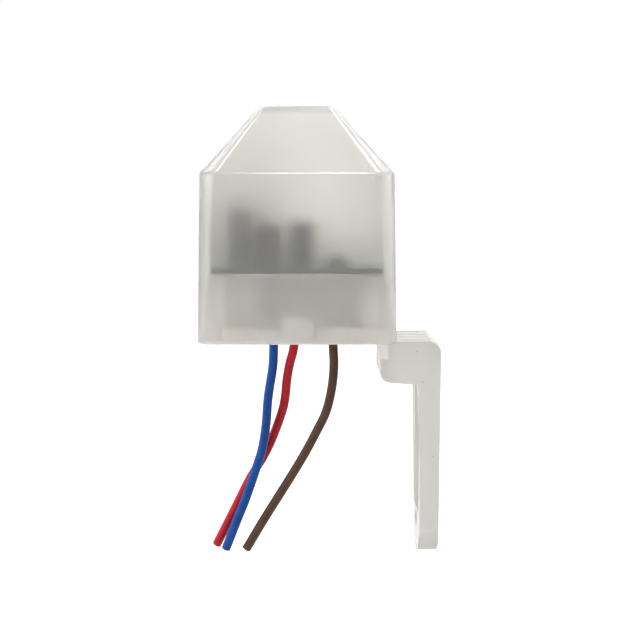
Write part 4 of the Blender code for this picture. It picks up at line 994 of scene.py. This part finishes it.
# studio: white surround, pale floor well below the switch, soft lamps
studio = {
    "floorLevel": -0.150,
    "floorSize": 6.0,
    "floorTone": (0.60, 0.60, 0.60),
    "surround": 0.33,
    "floorGlow": 0.81,
    "target": (-0.03, 0, 0.03),
    "lampTones": {"warm": (1.0, 0.98, 0.94), "pale": (1.0, 0.99, 0.97), "cool": (0.97, 0.97, 1.0),
                  "faint": (0.98, 0.98, 1.0), "white": (1.0, 1.0, 1.0)},
    "lamps": {
        "highLeft": {"place": (-0.222, -0.024, 0.970), "size": (0.08, 0.08), "power": 0.6, "tone": "pale"},
        "highRight": {"place": (0.152, -0.017, 0.968), "size": (0.14, 0.14), "power": 1.5, "tone": "pale"},
        "bandLeft": {"place": (-0.44, 0.42, 0.79), "size": (0.40, 0.40), "power": 1.6, "tone": "cool"},
        "bandRight": {"place": (0.36, 0.42, 0.79), "size": (0.40, 0.40), "power": 1.6, "tone": "cool"},
        "sideLeft": {"place": (-0.85, -0.30, 0.24), "size": (0.90, 0.28), "power": 3.0, "tone": "cool"},
        # for the bracket's leg and the chamfer of its arm, kept out of reflections
        "lowLeft": {"place": (-0.88, -0.20, -0.08), "size": (0.80, 0.12), "power": 3.9, "tone": "cool",
                    "mirrored": False},
        "highFront": {"place": (-0.015, -0.644, 0.857), "size": (0.15, 0.15), "power": 2.0, "tone": "warm"},
        "sideRight": {"place": (0.95, -0.15, 0.25), "size": (0.80, 0.80), "power": 6.4, "tone": "faint"},
        "behind": {"place": (0.0, 0.95, 0.35), "size": (0.90, 0.90), "power": 1.5, "tone": "white"},
    },
}


def seenDirectly(tree):
    # 1 where the camera, a reflection or light through the plastic looks, else 0
    path = addNode(tree, "ShaderNodeLightPath")
    direct = mathOf(tree, "MAXIMUM", path.outputs["Is Camera Ray"], path.outputs["Is Glossy Ray"])
    return mathOf(tree, "MAXIMUM", direct, path.outputs["Is Transmission Ray"])


def makeSurround(s):
    world = bpy.data.worlds.new("whiteSurround")
    world.use_nodes = True
    bpy.context.scene.world = world
    tree = world.node_tree
    backdrop = tree.nodes["Background"]
    backdrop.inputs["Color"].default_value = (1, 1, 1, 1)
    strength = spanOf(tree, seenDirectly(tree), 0, 1, s["surround"], 1.0)
    tree.links.new(strength, backdrop.inputs["Strength"])


def makeFloor(s):
    card, tree, shader = newFinish("paleFloor")
    shader.inputs["Base Color"].default_value = (*s["floorTone"], 1)
    shader.inputs["Roughness"].default_value = 0.9
    shader.inputs["Specular IOR Level"].default_value = 0.0
    shader.inputs["Emission Color"].default_value = (1, 1, 1, 1)
    glow = spanOf(tree, seenDirectly(tree), 0, 1, 0.0, s["floorGlow"])
    tree.links.new(glow, shader.inputs["Emission Strength"])
    half, level = s["floorSize"] / 2, s["floorLevel"]
    corners = [(-half, -half, level), (half, -half, level), (half, half, level), (-half, half, level)]
    floorMesh = bpy.data.meshes.new("paleFloor")
    floorMesh.from_pydata(corners, [], [(0, 1, 2, 3)])
    asPiece("paleFloor", floorMesh, card)


def makeLamps(s):
    for name, lamp in s["lamps"].items():
        light = bpy.data.lights.new(name, "AREA")
        light.shape, light.energy = "RECTANGLE", lamp["power"]
        light.size, light.size_y = lamp["size"]
        light.color = s["lampTones"][lamp["tone"]]
        holder = bpy.data.objects.new(name, light)
        holder.visible_camera = False
        holder.visible_glossy = lamp.get("mirrored", True)
        holder.location = lamp["place"]
        aim = Vector(s["target"]) - Vector(lamp["place"])
        holder.rotation_euler = aim.to_track_quat("-Z", "Y").to_euler()
        bpy.context.scene.collection.objects.link(holder)


makeSurround(studio)
makeFloor(studio)
makeLamps(studio)
bpy.context.scene.view_settings.view_transform = "Standard"
print("studio lit")
